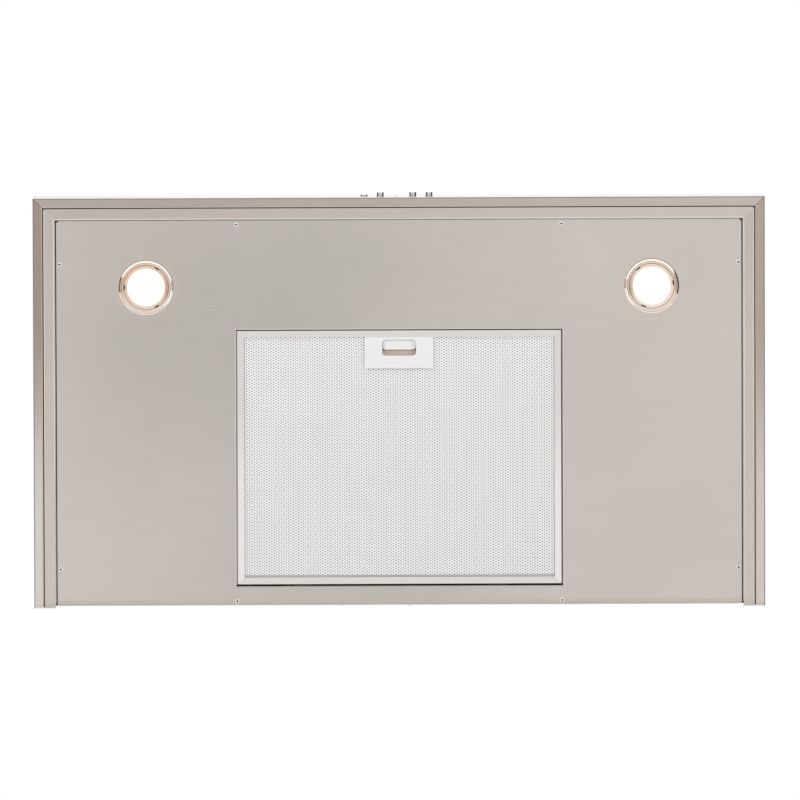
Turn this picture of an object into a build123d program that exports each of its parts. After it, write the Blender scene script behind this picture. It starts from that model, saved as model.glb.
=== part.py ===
"""Wall mount range hood: pyramid canopy with its underside filter, lamps, controls, blower and chimney.

Frame: +Z up, -Y towards the cook, the wall is the plane Y = 0 and +X is to the cook's right.
The origin lies on the wall, midway between the two hanging slots of the back plate.
Levels are heights above the lowest face of the hood; z_at() turns a level into a Z coordinate.
"""
import os
from math import atan2, cos, hypot, radians, sin, tan

from build123d import *

os.makedirs("parts", exist_ok=True)

# Overall size
hood_width = 900.0
hood_depth = 505.0
skirt_height = 50.0
roof_level = 250.0
hang_level = 200.0

# Sheet metal
sheet = 1.0
plate_thickness = 1.2
seat_gap = 0.2

# Chimney
chimney_width = 280.0
chimney_depth = 250.0
lower_chimney_height = 420.0
upper_chimney_height = 420.0
upper_chimney_reach = 190.0
chimney_gap = 0.6
chimney_lip = 14.0
vent_slot_length = 70.0
vent_slot_width = 5.0
vent_slot_count = 5

# Underside border
flange_width = 10.8
flange_lip = 8.0
border_gap = 2.0
rim_width = 13.8
rim_level = 0.6
rim_height = 14.0
panel_gap = 2.2
panel_level = 2.0
panel_wall_gap = 2.4
panel_bend = 3.0
panel_upstand = 30.0
corner_notch = 3.0
seam_width = 0.3
seam_depth = 0.5
rear_seam_y = -4.5
edge_round = 0.6
rim_corner = 3.0
corner_relief = 1.6

# Back plate
back_plate_level = 36.0
slot_spacing = 300.0
slot_length = 16.0
slot_radius = 4.0
safety_hole_spacing = 500.0
safety_hole_level = 74.0
safety_hole_radius = 3.0

# Screws
screw_head_radius = 2.75
screw_head_height = 1.2
screw_radius = 1.7
screw_length = 7.0
screw_clearance = 0.2
cross_width = 0.7
cross_depth = 0.6
side_screw_front = 81.0
side_screw_rear = 47.5
front_screw_x = 200.0
screw_edge = 4.0
rear_screw_y = -7.8

# Panel brackets and rivets
bracket_foot = 12.0
bracket_width = 22.0
bracket_top_level = 62.0
joggle_rise = 3.0
rivet_xs = (-71.6, 12.2)
rivet_radius = 1.25
rivet_tip = 2.0
rivet_level = 8.0

# Filter cassette
opening_width = 402.0
opening_rear = 26.0
opening_length = 316.4
filter_width = 398.4
filter_length = 312.5
filter_rear_gap = 2.5
filter_height = 9.0
filter_lip = 8.3
filter_sheet = 0.8
mesh_sheet = 0.8
mesh_columns = 20
mesh_rows = 14
mesh_strand = 3.0
rear_mesh_columns = 12
rear_mesh_rows = 8
crimp_pitch = 12.0
media_sheet = 0.6
tab_spacing = 240.0
tab_width = 24.0
tab_reach = 10.0
tab_lift = 0.3
tab_corner = 3.0

# Filter latch
handle_width = 84.4
handle_length = 40.5
handle_front = 6.2
handle_sheet = 0.6
handle_corner = 1.5
window_width = 41.6
window_length = 20.0
window_front = 4.1
window_corner = 4.5
pad_length = 12.2
latch_travel = 5.5
latch_clearance = 0.3
slider_flange = 5.5
slider_height = 4.0
slider_tail = 2.0
tongue_width = 30.0
tongue_thickness = 1.2
housing_width = 64.0
housing_rear = 27.0
housing_depth = 5.6
latch_spring_radius = 1.2
latch_spring_wire = 0.4
latch_spring_spacing = 46.4

# Lamps
lamp_spacing = 622.0
lamp_front = 110.0
bezel_radius = 33.7
bezel_drop = 1.6
bezel_tube_radius = 30.4
bezel_wall = 0.9
bezel_tube_level = 14.0
cone_inner_radius = 23.6
cone_rise = 2.4
cone_thickness = 1.2
cone_slot_radius = 26.7
cone_slot_length = 6.0
cone_slot_width = 1.5
lens_thickness = 3.0
lens_overlap = 0.8
lamp_cup_radius = 27.0
lamp_cup_height = 30.0
lamp_flange_radius = 33.0
bulb_radius = 5.0
bulb_length = 17.0
socket_radius = 9.0
socket_height = 16.0
clip_width = 6.0
clip_reach = 9.0
clip_level = 10.0
clip_leg = 4.0
clip_tip = 2.0
clip_sheet = 0.6

# Push buttons
controls_x = -2.3
button_pitch = 20.0
button_radius = 4.25
button_out = 5.0
button_latch = 2.8
button_level = 31.0
button_cap_length = 14.0
button_collar_radius = 5.4
button_collar_length = 2.0
button_stem_radius = 2.0
button_stem_length = 16.0
stem_clearance = 0.06
button_clearance = 0.3
switch_width = 112.0
switch_height = 26.0
switch_depth = 29.0
switch_front_wall = 2.0
switch_cavity = 12.0
switch_corner = 2.0
button_round = 0.5
pilot_radius = 2.5
pilot_length = 14.0
pilot_out = 0.4

# Blower
collar_radius = 74.5
collar_wall = 1.2
collar_height = 90.0
collar_flange = 8.0
blower_half_width = 77.0
blower_sheet = 1.2
neck_collar = 8.0
deck_thickness = 1.5
deck_margin = 5.0
deck_screw_inset = 7.0
deck_screw_end = 20.0
axis_to_wall = 160.0
axis_level = 138.0
scroll_start_radius = 107.0
scroll_step = 10.0
roof_ledge = 15.0
impeller_radius = 72.0
impeller_length = 136.0
impeller_ring = 2.0
impeller_ring_width = 14.0
blade_count = 36
blade_chord = 14.0
blade_thickness = 1.0
blade_angle = 35.0
inlet_radius = 56.0
inlet_lip = 7.0
hub_radius = 11.0
hub_length = 26.0
shaft_radius = 4.0
shaft_clearance = 0.05
shaft_chamfer = 0.5
motor_radius = 44.0
motor_gap = 4.0
motor_corner = 3.0
hub_start = -8.0
bracket_ring_radius = 30.0
bracket_arm_width = 14.0
bracket_reach = 75.0
bracket_thickness = 2.0

# Damper in the duct collar
damper_level = 40.0
damper_pin_radius = 2.0
damper_clearance = 0.05
knuckle_radius = 3.2
knuckle_length = 16.0
knuckle_spacing = 36.0
flap_thickness = 1.2
flap_root = 3.8
flap_gap = 2.2
damper_ledge = 5.0

# Electrics on the back plate
terminal_box_x = 235.0
terminal_box_size = (104.0, 44.0, 64.0)
terminal_box_level = 72.0
terminal_box_wall = 2.0
terminal_box_corner = 3.0
lid_screw_inset = 6.0
terminal_block_size = (60.0, 14.0, 18.0)
gland_radius = 9.0
gland_bore = 4.5
gland_length = 18.0
gland_nut = 22.0
gland_wall = 2.0
gland_round = 1.0
capacitor_x = -215.0
capacitor_radius = 16.0
capacitor_length = 56.0
capacitor_level = 80.0
capacitor_round = 2.0
capacitor_tag = (1.0, 6.0, 9.0)
capacitor_clip_width = 14.0
capacitor_clip_ear = 12.0
transformer_x = -310.0
transformer_size = (84.0, 34.0, 38.0)
transformer_level = 62.0
transformer_ear = 8.0
transformer_corner = 3.0
transformer_round = 2.0

# Ceiling bracket
ceiling_bracket_height = 30.0
ceiling_hole_spacing = 180.0
ceiling_hole_radius = 3.0
ceiling_bracket_depth = 40.0

# Worked-out levels and places
roof_z = roof_level - hang_level
underside_z = -hang_level
panel_inset = flange_width + border_gap + rim_width + panel_gap
panel_half_width = hood_width / 2 - panel_inset
panel_front_y = -hood_depth + panel_inset
panel_top_level = panel_level + sheet
slope_run = (hood_width - chimney_width) / 2
slope = slope_run / (roof_level - skirt_height)
slope_shift = sheet * hypot(1, slope)
front_slope = (hood_depth - chimney_depth) / (roof_level - skirt_height)
front_slope_shift = sheet * hypot(1, front_slope)
kink_level = skirt_height - (slope_shift - sheet) / slope


def z_at(level):
    """Z coordinate of a height above the lowest face of the hood."""
    return level - hang_level


def facing_x(x, y=0.0, z=0.0):
    """Plane across X, with its local axes along Y and Z."""
    return Plane(origin=(x, y, z), x_dir=(0, 1, 0), z_dir=(1, 0, 0))


def facing_front(y, x=0.0, z=0.0):
    """Plane across Y that looks to the front, with its local axes along X and Z."""
    return Plane(origin=(x, y, z), x_dir=(1, 0, 0), z_dir=(0, -1, 0))


def near(place):
    """Narrow span around a coordinate, to pick the vertices and edges that lie there."""
    return place - seat_gap / 2, place + seat_gap / 2


def border_edges(part, inset, level):
    """Edges of a border band's lower face along one inset, on all three sides."""
    low_edges = part.edges().filter_by_position(Axis.Z, *near(z_at(level)))
    sides = low_edges.filter_by_position(Axis.X, *near(inset - hood_width / 2))
    sides += low_edges.filter_by_position(Axis.X, *near(hood_width / 2 - inset))
    return sides + low_edges.filter_by_position(Axis.Y, *near(inset - hood_depth))


def border_band(outer_inset, inner_inset, level, height, outer_corner=0.0, inner_corner=0.0):
    """Band along the left, front and right edges of the hood, open at the wall."""
    with BuildSketch(Plane.XY.offset(z_at(level))) as band:
        Rectangle(
            hood_width - 2 * outer_inset,
            hood_depth - outer_inset,
            align=(Align.CENTER, Align.MAX),
        )
        Rectangle(
            hood_width - 2 * inner_inset,
            hood_depth - inner_inset,
            align=(Align.CENTER, Align.MAX),
            mode=Mode.SUBTRACT,
        )
        if outer_corner:
            fillet(band.vertices().group_by(Axis.Y)[0], outer_corner)
        if inner_corner:
            inner_corners = band.vertices().filter_by_position(Axis.Y, *near(inner_inset - hood_depth))
            fillet(inner_corners, inner_corner)
    extrude(band.sketch, amount=height)


def corner_seams(outer_inset, inner_inset, level):
    """Mitre seams across a border band at the two front corners, and butt seams near the wall."""
    seam_length = (inner_inset - outer_inset) * 2 ** 0.5 - 2 * seam_depth
    middle = (outer_inset + inner_inset) / 2
    with BuildSketch(Plane.XY.offset(z_at(level))) as seams:
        for side in (-1, 1):
            with Locations((side * (hood_width / 2 - middle), -hood_depth + middle)):
                Rectangle(seam_length, seam_width, rotation=-side * 45)
            with Locations((side * (hood_width / 2 - middle), rear_seam_y)):
                Rectangle(inner_inset - outer_inset - 2 * seam_depth, seam_width)
    extrude(seams.sketch, amount=seam_depth, mode=Mode.SUBTRACT)


def screw(plane):
    """Pan head screw with a cross recess; its seat is the plane and the head points along its normal."""
    with BuildPart() as one_screw:
        with BuildSketch(plane):
            Circle(screw_head_radius)
        extrude(amount=screw_head_height)
        fillet(one_screw.edges().sort_by(Axis(plane.origin, plane.z_dir))[-1], screw_head_height * 0.7)
        with BuildSketch(plane.offset(screw_head_height)):
            Rectangle(screw_head_radius * 1.2, cross_width)
            Rectangle(cross_width, screw_head_radius * 1.2)
        extrude(amount=-cross_depth, mode=Mode.SUBTRACT)
        with BuildSketch(plane):
            Circle(screw_radius)
        extrude(amount=-screw_length)
    return one_screw.part


def screw_group(planes):
    """Identical screws as separate solids of one piece."""
    with BuildPart() as group:
        for plane in planes:
            add(screw(plane))
    return group.part


# Screw places that several sheets share
side_screw_x = panel_half_width - screw_edge
front_screw_y = panel_front_y + screw_edge
border_screws = [
    (side * side_screw_x, y)
    for side in (-1, 1)
    for y in (-hood_depth + side_screw_front, -side_screw_rear)
]
border_screws += [(side * front_screw_x, front_screw_y) for side in (-1, 1)]
rear_screws = [(side * front_screw_x, rear_screw_y) for side in (-1, 1)]
button_xs = {
    "button_light": controls_x - 2 * button_pitch,
    "button_low": controls_x - button_pitch,
    "button_medium": controls_x + button_pitch,
    "button_high": controls_x + 2 * button_pitch,
}
button_z = z_at(button_level)
fascia_y = -hood_depth
duct_y = -chimney_depth / 2
deck_z = roof_z - sheet - deck_thickness
deck_screw_x = chimney_width / 2 - roof_ledge + deck_screw_inset
deck_screw_y = chimney_depth / 2 - deck_screw_end
deck_screws = [(side * deck_screw_x, duct_y + end * deck_screw_y) for side in (-1, 1) for end in (-1, 1)]

# Canopy: skirt and pyramid folded from one sheet, open below and at the wall
with BuildPart() as canopy_shell:
    with BuildSketch(Plane.XY.offset(underside_z)):
        Rectangle(hood_width, hood_depth, align=(Align.CENTER, Align.MAX))
    extrude(amount=skirt_height)
    with BuildSketch(Plane.XY.offset(underside_z + skirt_height)):
        Rectangle(hood_width, hood_depth, align=(Align.CENTER, Align.MAX))
    with BuildSketch(Plane.XY.offset(roof_z)):
        Rectangle(chimney_width, chimney_depth, align=(Align.CENTER, Align.MAX))
    loft()
    with BuildSketch(Plane.XY.offset(underside_z)):
        Rectangle(hood_width - 2 * sheet, hood_depth - sheet, align=(Align.CENTER, Align.MAX))
    extrude(amount=kink_level, mode=Mode.SUBTRACT)
    with BuildSketch(Plane.XY.offset(z_at(kink_level))):
        Rectangle(hood_width - 2 * sheet, hood_depth - sheet, align=(Align.CENTER, Align.MAX))
    with BuildSketch(Plane.XY.offset(roof_z - sheet)):
        Rectangle(
            chimney_width + 2 * (slope * sheet - slope_shift),
            chimney_depth + front_slope * sheet - front_slope_shift,
            align=(Align.CENTER, Align.MAX),
        )
    loft(mode=Mode.SUBTRACT)
    border_band(0, flange_width, 0, sheet)
    border_band(flange_width - sheet, flange_width, sheet, flange_lip - sheet)
    bends = border_edges(canopy_shell, 0, 0) + border_edges(canopy_shell, flange_width, 0)
    fillet(bends, edge_round)
    corner_seams(0, flange_width, 0)
    with BuildSketch(Plane.XY.offset(roof_z)):
        with Locations((0, duct_y)):
            Rectangle(chimney_width - 2 * roof_ledge, chimney_depth - 2 * roof_ledge)
    extrude(amount=-sheet, mode=Mode.SUBTRACT)
    with BuildSketch(Plane.XY.offset(roof_z)):
        with Locations(*deck_screws):
            Circle(screw_radius + screw_clearance)
    extrude(amount=-sheet, mode=Mode.SUBTRACT)
    with BuildSketch(facing_front(fascia_y)):
        with Locations(*[(x, button_z) for x in button_xs.values()]):
            Circle(button_radius + button_clearance)
        with Locations((controls_x, button_z)):
            Circle(pilot_radius + button_clearance)
    extrude(amount=-sheet, mode=Mode.SUBTRACT)
canopy_shell.part.label = "canopy_shell"
export_step(canopy_shell.part, "parts/canopy_shell.step")

# Back plate: closes the canopy at the wall and carries the hanging slots
plate_top_level = roof_level - sheet - seat_gap
plate_top_half = hood_width / 2 - slope * (plate_top_level - skirt_height) - slope_shift - seat_gap
plate_half = hood_width / 2 - sheet - seat_gap
with BuildPart() as back_plate:
    with BuildSketch(facing_front(0)):
        with BuildLine():
            Polyline(
                (-plate_half, z_at(back_plate_level)),
                (plate_half, z_at(back_plate_level)),
                (plate_half, z_at(kink_level)),
                (plate_top_half, z_at(plate_top_level)),
                (-plate_top_half, z_at(plate_top_level)),
                (-plate_half, z_at(kink_level)),
                close=True,
            )
        make_face()
        with GridLocations(slot_spacing, 0, 2, 1):
            SlotOverall(slot_length, 2 * slot_radius, mode=Mode.SUBTRACT)
        with Locations((0, z_at(safety_hole_level))):
            with GridLocations(safety_hole_spacing, 0, 2, 1):
                Circle(safety_hole_radius, mode=Mode.SUBTRACT)
    extrude(amount=plate_thickness)
back_plate.part.label = "back_plate"
export_step(back_plate.part, "parts/back_plate.step")

# Inner rim: folded channel between the flange and the underside panel, with the shelf the panel screws to
rim_outer = flange_width + border_gap
rim_inner = rim_outer + rim_width
shelf_inner = panel_inset + 3 * screw_edge
with BuildPart() as inner_rim:
    border_band(rim_outer, rim_inner, rim_level, sheet, outer_corner=rim_corner)
    border_band(
        rim_outer,
        rim_outer + sheet,
        rim_level,
        rim_height,
        outer_corner=rim_corner,
        inner_corner=rim_corner - sheet,
    )
    border_band(sheet, rim_outer + sheet, rim_level + rim_height, sheet)
    border_band(rim_inner - sheet, rim_inner, rim_level, panel_top_level + sheet - rim_level)
    border_band(rim_inner - sheet, shelf_inner, panel_top_level, sheet)
    outer_arcs = inner_rim.edges().filter_by(GeomType.CIRCLE).group_by(Axis.Z)[0]
    bends = border_edges(inner_rim, rim_outer, rim_level) + border_edges(inner_rim, rim_inner, rim_level)
    fillet(bends + outer_arcs, edge_round)
    corner_seams(rim_outer, rim_inner, rim_level)
    with BuildSketch(Plane.XY.offset(z_at(panel_top_level))):
        with Locations(*border_screws):
            Circle(screw_radius)
        with Locations((-hood_width / 2 + shelf_inner, 0), (hood_width / 2 - shelf_inner, 0)):
            Rectangle(2 * (shelf_inner - rim_inner), 2 * (panel_wall_gap + panel_bend + seat_gap))
    extrude(amount=sheet, mode=Mode.SUBTRACT)
inner_rim.part.label = "inner_rim"
export_step(inner_rim.part, "parts/inner_rim.step")

# Underside panel: flat sheet with the lamp and filter openings, bent up along the wall
panel_z = z_at(panel_level)
panel_rear_y = -panel_wall_gap
lamp_y = -hood_depth + lamp_front
opening_y = -opening_rear - opening_length / 2
with BuildPart() as underside_panel:
    with BuildSketch(facing_x(-panel_half_width)):
        with BuildLine():
            Line((panel_front_y, panel_z), (panel_rear_y - panel_bend, panel_z))
            RadiusArc(
                (panel_rear_y - panel_bend, panel_z),
                (panel_rear_y, panel_z + panel_bend),
                -panel_bend,
            )
            Polyline(
                (panel_rear_y, panel_z + panel_bend),
                (panel_rear_y, panel_z + panel_upstand),
                (panel_rear_y - sheet, panel_z + panel_upstand),
                (panel_rear_y - sheet, panel_z + panel_bend),
            )
            RadiusArc(
                (panel_rear_y - sheet, panel_z + panel_bend),
                (panel_rear_y - panel_bend, panel_z + sheet),
                panel_bend - sheet,
            )
            Polyline(
                (panel_rear_y - panel_bend, panel_z + sheet),
                (panel_front_y, panel_z + sheet),
                (panel_front_y, panel_z),
            )
        make_face()
    extrude(amount=2 * panel_half_width)
    with BuildSketch(Plane.XY.offset(panel_z)):
        with Locations((0, lamp_y)):
            with GridLocations(lamp_spacing, 0, 2, 1):
                Circle(bezel_tube_radius + seat_gap)
        with Locations((0, opening_y)):
            Rectangle(opening_width, opening_length)
        with Locations(*border_screws, *rear_screws):
            Circle(screw_radius + screw_clearance)
    extrude(amount=2 * sheet, mode=Mode.SUBTRACT)
    with BuildSketch(Plane.XY.offset(panel_z)):
        with Locations((-panel_half_width, 0), (panel_half_width, 0)):
            Rectangle(2 * corner_notch, 2 * corner_notch)
        with Locations((-panel_half_width, panel_front_y), (panel_half_width, panel_front_y)):
            Circle(corner_relief)
    extrude(amount=panel_upstand, mode=Mode.SUBTRACT)
underside_panel.part.label = "underside_panel"
export_step(underside_panel.part, "parts/underside_panel.step")

# Rear brackets: tie the panel's rear edge to the back plate
joggle_level = panel_level + panel_upstand + joggle_rise
leg_y = panel_rear_y - sheet
bend_inner = panel_bend - sheet + seat_gap
bend_step = plate_thickness * tan(radians(45) / 2)
joggle_step = plate_thickness * tan(atan2(-leg_y - plate_thickness, joggle_rise) / 2)
foot_y = leg_y - bend_inner - bracket_foot
foot_z = z_at(panel_top_level)
joggle_z = z_at(joggle_level)
with BuildPart() as panel_brackets:
    for side in (-1, 1):
        with BuildSketch(facing_x(side * front_screw_x - bracket_width / 2)):
            with BuildLine():
                Polyline(
                    (foot_y, foot_z),
                    (leg_y - bend_inner, foot_z),
                    (leg_y, foot_z + bend_inner),
                    (leg_y, joggle_z),
                    (-plate_thickness, joggle_z + joggle_rise),
                    (-plate_thickness, z_at(bracket_top_level)),
                    (-2 * plate_thickness, z_at(bracket_top_level)),
                    (-2 * plate_thickness, joggle_z + joggle_rise + joggle_step),
                    (leg_y - plate_thickness, joggle_z + joggle_step),
                    (leg_y - plate_thickness, foot_z + bend_inner + bend_step),
                    (leg_y - bend_inner - bend_step, foot_z + plate_thickness),
                    (foot_y, foot_z + plate_thickness),
                    close=True,
                )
            make_face()
        extrude(amount=bracket_width)
    with BuildSketch(Plane.XY.offset(foot_z)):
        with Locations(*rear_screws):
            Circle(screw_radius + screw_clearance)
    extrude(amount=screw_length, mode=Mode.SUBTRACT)
panel_brackets.part.label = "panel_brackets"
export_step(panel_brackets.part, "parts/panel_brackets.step")

# Panel screws: heads below the panel
panel_screws = screw_group(
    [
        Plane(origin=(x, y, panel_z), x_dir=(1, 0, 0), z_dir=(0, 0, -1))
        for x, y in border_screws + rear_screws
    ]
)
panel_screws.label = "panel_screws"
export_step(panel_screws, "parts/panel_screws.step")

# Rear rivets: close the panel's upstand onto its brackets, tips towards the wall
with BuildPart() as rear_rivets:
    for x in rivet_xs:
        with BuildSketch(facing_front(panel_rear_y, x, z_at(rivet_level))):
            Circle(rivet_radius)
        extrude(amount=-rivet_tip)
        fillet(rear_rivets.edges().filter_by(GeomType.CIRCLE).group_by(Axis.Y)[-1], rivet_radius * 0.6)
rear_rivets.part.label = "rear_rivets"
export_step(rear_rivets.part, "parts/rear_rivets.step")


def chimney_wall(width, depth, rear_y, base_z, height):
    """Three-sided chimney cover with two rear lips, open at the wall between them."""
    with BuildPart() as cover:
        with BuildSketch(Plane(origin=(0, rear_y, base_z))):
            Rectangle(width, depth, align=(Align.CENTER, Align.MAX))
            with Locations((0, -sheet)):
                Rectangle(
                    width - 2 * sheet,
                    depth - 2 * sheet,
                    align=(Align.CENTER, Align.MAX),
                    mode=Mode.SUBTRACT,
                )
            Rectangle(width - 2 * chimney_lip, 2 * sheet, mode=Mode.SUBTRACT)
        extrude(amount=height)
    return cover.part


# Lower chimney: stands on the canopy roof
with BuildPart() as lower_chimney:
    add(chimney_wall(chimney_width, chimney_depth, 0, roof_z, lower_chimney_height))
lower_chimney.part.label = "lower_chimney"
export_step(lower_chimney.part, "parts/lower_chimney.step")

# Upper chimney: slides inside the lower one, with vent slots near its top
inner_shrink = sheet + chimney_gap
upper_width = chimney_width - 2 * inner_shrink
upper_depth = chimney_depth - 2 * inner_shrink
upper_top_z = roof_z + lower_chimney_height + upper_chimney_reach
upper_base_z = upper_top_z - upper_chimney_height
vent_pitch = 3 * vent_slot_width
with BuildPart() as upper_chimney:
    add(chimney_wall(upper_width, upper_depth, -inner_shrink, upper_base_z, upper_chimney_height))
    vent_z = upper_top_z - 2 * ceiling_bracket_height - vent_slot_count * vent_pitch / 2
    with BuildSketch(facing_x(-upper_width, duct_y, vent_z)):
        with GridLocations(1.5 * vent_slot_length, vent_pitch, 2, vent_slot_count):
            SlotOverall(vent_slot_length, vent_slot_width)
    extrude(amount=2 * upper_width, mode=Mode.SUBTRACT)
    bracket_z = upper_top_z - ceiling_bracket_height / 2
    bracket_screw_y = -inner_shrink - ceiling_bracket_depth / 2
    with BuildSketch(facing_x(-upper_width, bracket_screw_y, bracket_z)):
        Circle(screw_radius + screw_clearance)
    extrude(amount=2 * upper_width, mode=Mode.SUBTRACT)
upper_chimney.part.label = "upper_chimney"
export_step(upper_chimney.part, "parts/upper_chimney.step")

# Ceiling bracket: channel screwed to the wall, with ears that the upper chimney screws to
ear_half = upper_width / 2 - sheet
ear_rear_y = -inner_shrink - sheet - seat_gap
with BuildPart() as ceiling_bracket:
    with BuildSketch(Plane.XY.offset(upper_top_z - ceiling_bracket_height)):
        with BuildLine():
            Polyline(
                (-ear_half, -ceiling_bracket_depth),
                (-ear_half, ear_rear_y),
                (-ear_half + chimney_lip + plate_thickness, ear_rear_y),
                (-ear_half + chimney_lip + plate_thickness, 0),
                (ear_half - chimney_lip - plate_thickness, 0),
                (ear_half - chimney_lip - plate_thickness, ear_rear_y),
                (ear_half, ear_rear_y),
                (ear_half, -ceiling_bracket_depth),
                (ear_half - plate_thickness, -ceiling_bracket_depth),
                (ear_half - plate_thickness, ear_rear_y - plate_thickness),
                (ear_half - chimney_lip - 2 * plate_thickness, ear_rear_y - plate_thickness),
                (ear_half - chimney_lip - 2 * plate_thickness, -plate_thickness),
                (-ear_half + chimney_lip + 2 * plate_thickness, -plate_thickness),
                (-ear_half + chimney_lip + 2 * plate_thickness, ear_rear_y - plate_thickness),
                (-ear_half + plate_thickness, ear_rear_y - plate_thickness),
                (-ear_half + plate_thickness, -ceiling_bracket_depth),
                close=True,
            )
        make_face()
    extrude(amount=ceiling_bracket_height)
    with BuildSketch(facing_front(0, 0, bracket_z)):
        with GridLocations(ceiling_hole_spacing, 0, 2, 1):
            Circle(ceiling_hole_radius)
    extrude(amount=plate_thickness, mode=Mode.SUBTRACT)
    with BuildSketch(facing_x(-ear_half, bracket_screw_y, bracket_z)):
        Circle(screw_radius)
    extrude(amount=2 * ear_half, mode=Mode.SUBTRACT)
ceiling_bracket.part.label = "ceiling_bracket"
export_step(ceiling_bracket.part, "parts/ceiling_bracket.step")

# Chimney screws: fix the upper chimney to the bracket's ears
chimney_screws = screw_group(
    [
        Plane(
            origin=(side * upper_width / 2, bracket_screw_y, bracket_z),
            x_dir=(0, 1, 0),
            z_dir=(side, 0, 0),
        )
        for side in (-1, 1)
    ]
)
chimney_screws.label = "chimney_screws"
export_step(chimney_screws, "parts/chimney_screws.step")

# Filter cassette
filter_rear_y = -opening_rear - filter_rear_gap
filter_front_y = filter_rear_y - filter_length
filter_y = (filter_rear_y + filter_front_y) / 2
filter_base_z = panel_z
cavity_z = filter_base_z + filter_sheet
cavity_height = filter_height - 2 * filter_sheet
tab_z = z_at(panel_top_level) + tab_lift
latch_z = tab_z + tongue_thickness / 2
handle_y = filter_front_y + handle_front + handle_length / 2
housing_front_y = filter_front_y + filter_lip + seat_gap
housing_rear_y = filter_front_y + handle_front + window_front + housing_rear
housing_y = (housing_front_y + housing_rear_y) / 2
housing_length = housing_rear_y - housing_front_y
slider_width = window_width - 2 * latch_clearance
window_front_y = filter_front_y + handle_front + window_front
pad_front_y = window_front_y + latch_clearance
spring_z = filter_base_z + seat_gap + slider_height / 2

# Filter frame: channel all round, with mitre seams at the corners and a slot for the latch tongue
with BuildPart() as filter_frame:
    with BuildSketch(Plane.XY.offset(filter_base_z)):
        with Locations((0, filter_y)):
            Rectangle(filter_width, filter_length)
            Rectangle(filter_width - 2 * filter_lip, filter_length - 2 * filter_lip, mode=Mode.SUBTRACT)
    extrude(amount=filter_height)
    with BuildSketch(Plane.XY.offset(cavity_z)):
        with Locations((0, filter_y)):
            Rectangle(filter_width - 2 * filter_sheet, filter_length - 2 * filter_sheet)
    extrude(amount=cavity_height, mode=Mode.SUBTRACT)
    with BuildSketch(Plane.XY.offset(filter_base_z)):
        for side in (-1, 1):
            for end in (-1, 1):
                corner_x = side * (filter_width - filter_lip) / 2
                corner_y = filter_y + end * (filter_length - filter_lip) / 2
                with Locations((corner_x, corner_y)):
                    Rectangle(filter_lip * 1.3, seam_width, rotation=side * end * 45)
    extrude(amount=filter_sheet / 2, mode=Mode.SUBTRACT)
    with BuildSketch(facing_front(filter_front_y, 0, latch_z)):
        Rectangle(tongue_width + 2 * latch_clearance, tongue_thickness + 2 * latch_clearance)
    extrude(amount=-filter_sheet, mode=Mode.SUBTRACT)
filter_frame.part.label = "filter_frame"
export_step(filter_frame.part, "parts/filter_frame.step")

layer_width = filter_width - 2 * filter_sheet - 2 * seat_gap
layer_length = filter_length - 2 * filter_sheet - 2 * seat_gap


def filter_layer(thickness, base_z):
    """Filling layer of the cassette, notched around the latch housing."""
    with BuildSketch(Plane.XY.offset(base_z)) as layer:
        with Locations((0, filter_y)):
            Rectangle(layer_width, layer_length)
        with Locations((0, filter_front_y)):
            Rectangle(
                housing_width + 2 * seat_gap,
                housing_rear_y - filter_front_y + seat_gap,
                align=(Align.CENTER, Align.MIN),
                mode=Mode.SUBTRACT,
            )
    extrude(layer.sketch, amount=thickness)


def mesh_openings(columns, rows, base_z, keep_clear_y):
    """Staggered diamond openings of an expanded metal sheet; rows beside the handle leave it closed."""
    field_width = filter_width - 2 * filter_lip
    field_length = filter_length - 2 * filter_lip
    pitch_x = field_width / columns
    pitch_y = field_length / rows
    half_x = (pitch_x - mesh_strand) / 2
    half_y = (pitch_y - mesh_strand) / 2
    places = []
    for row in range(rows):
        y = filter_front_y + filter_lip + (row + 0.5) * pitch_y
        shift = 0.25 if row % 2 else -0.25
        for column in range(columns):
            x = -field_width / 2 + (column + 0.5 + shift) * pitch_x
            if y - half_y > keep_clear_y or abs(x) > handle_width / 2 + half_x:
                places.append((x, y))
    with BuildSketch(Plane.XY.offset(base_z)) as openings:
        with Locations(*places):
            Polygon((-half_x, 0), (0, -half_y), (half_x, 0), (0, half_y))
    extrude(openings.sketch, amount=mesh_sheet, mode=Mode.SUBTRACT)


# Face mesh: the sheet that shows below
with BuildPart() as filter_face_mesh:
    filter_layer(mesh_sheet, cavity_z)
    mesh_openings(mesh_columns, mesh_rows, cavity_z, housing_rear_y + mesh_strand)
filter_face_mesh.part.label = "filter_face_mesh"
export_step(filter_face_mesh.part, "parts/filter_face_mesh.step")

# Filter media: crimped aluminium layer between the two meshes
media_base_z = cavity_z + mesh_sheet
media_height = cavity_height - 2 * mesh_sheet
crimp_count = round(layer_width / crimp_pitch)
crimp_step = layer_width / (2 * crimp_count)
crimp_rise = media_height - media_sheet
crimp_lower = [
    (-layer_width / 2 + step * crimp_step, media_base_z + crimp_rise * (step % 2))
    for step in range(2 * crimp_count + 1)
]
crimp_upper = [(x, z + media_sheet) for x, z in reversed(crimp_lower)]
with BuildPart() as filter_media:
    with BuildSketch(facing_front(filter_rear_y - filter_sheet - seat_gap)):
        with BuildLine():
            Polyline(*crimp_lower, *crimp_upper, close=True)
        make_face()
    extrude(amount=layer_length)
    with BuildSketch(Plane.XY.offset(media_base_z)):
        with Locations((0, filter_front_y)):
            Rectangle(
                housing_width + 2 * seat_gap,
                housing_rear_y - filter_front_y + seat_gap,
                align=(Align.CENTER, Align.MIN),
            )
    extrude(amount=media_height, mode=Mode.SUBTRACT)
filter_media.part.label = "filter_media"
export_step(filter_media.part, "parts/filter_media.step")

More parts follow.
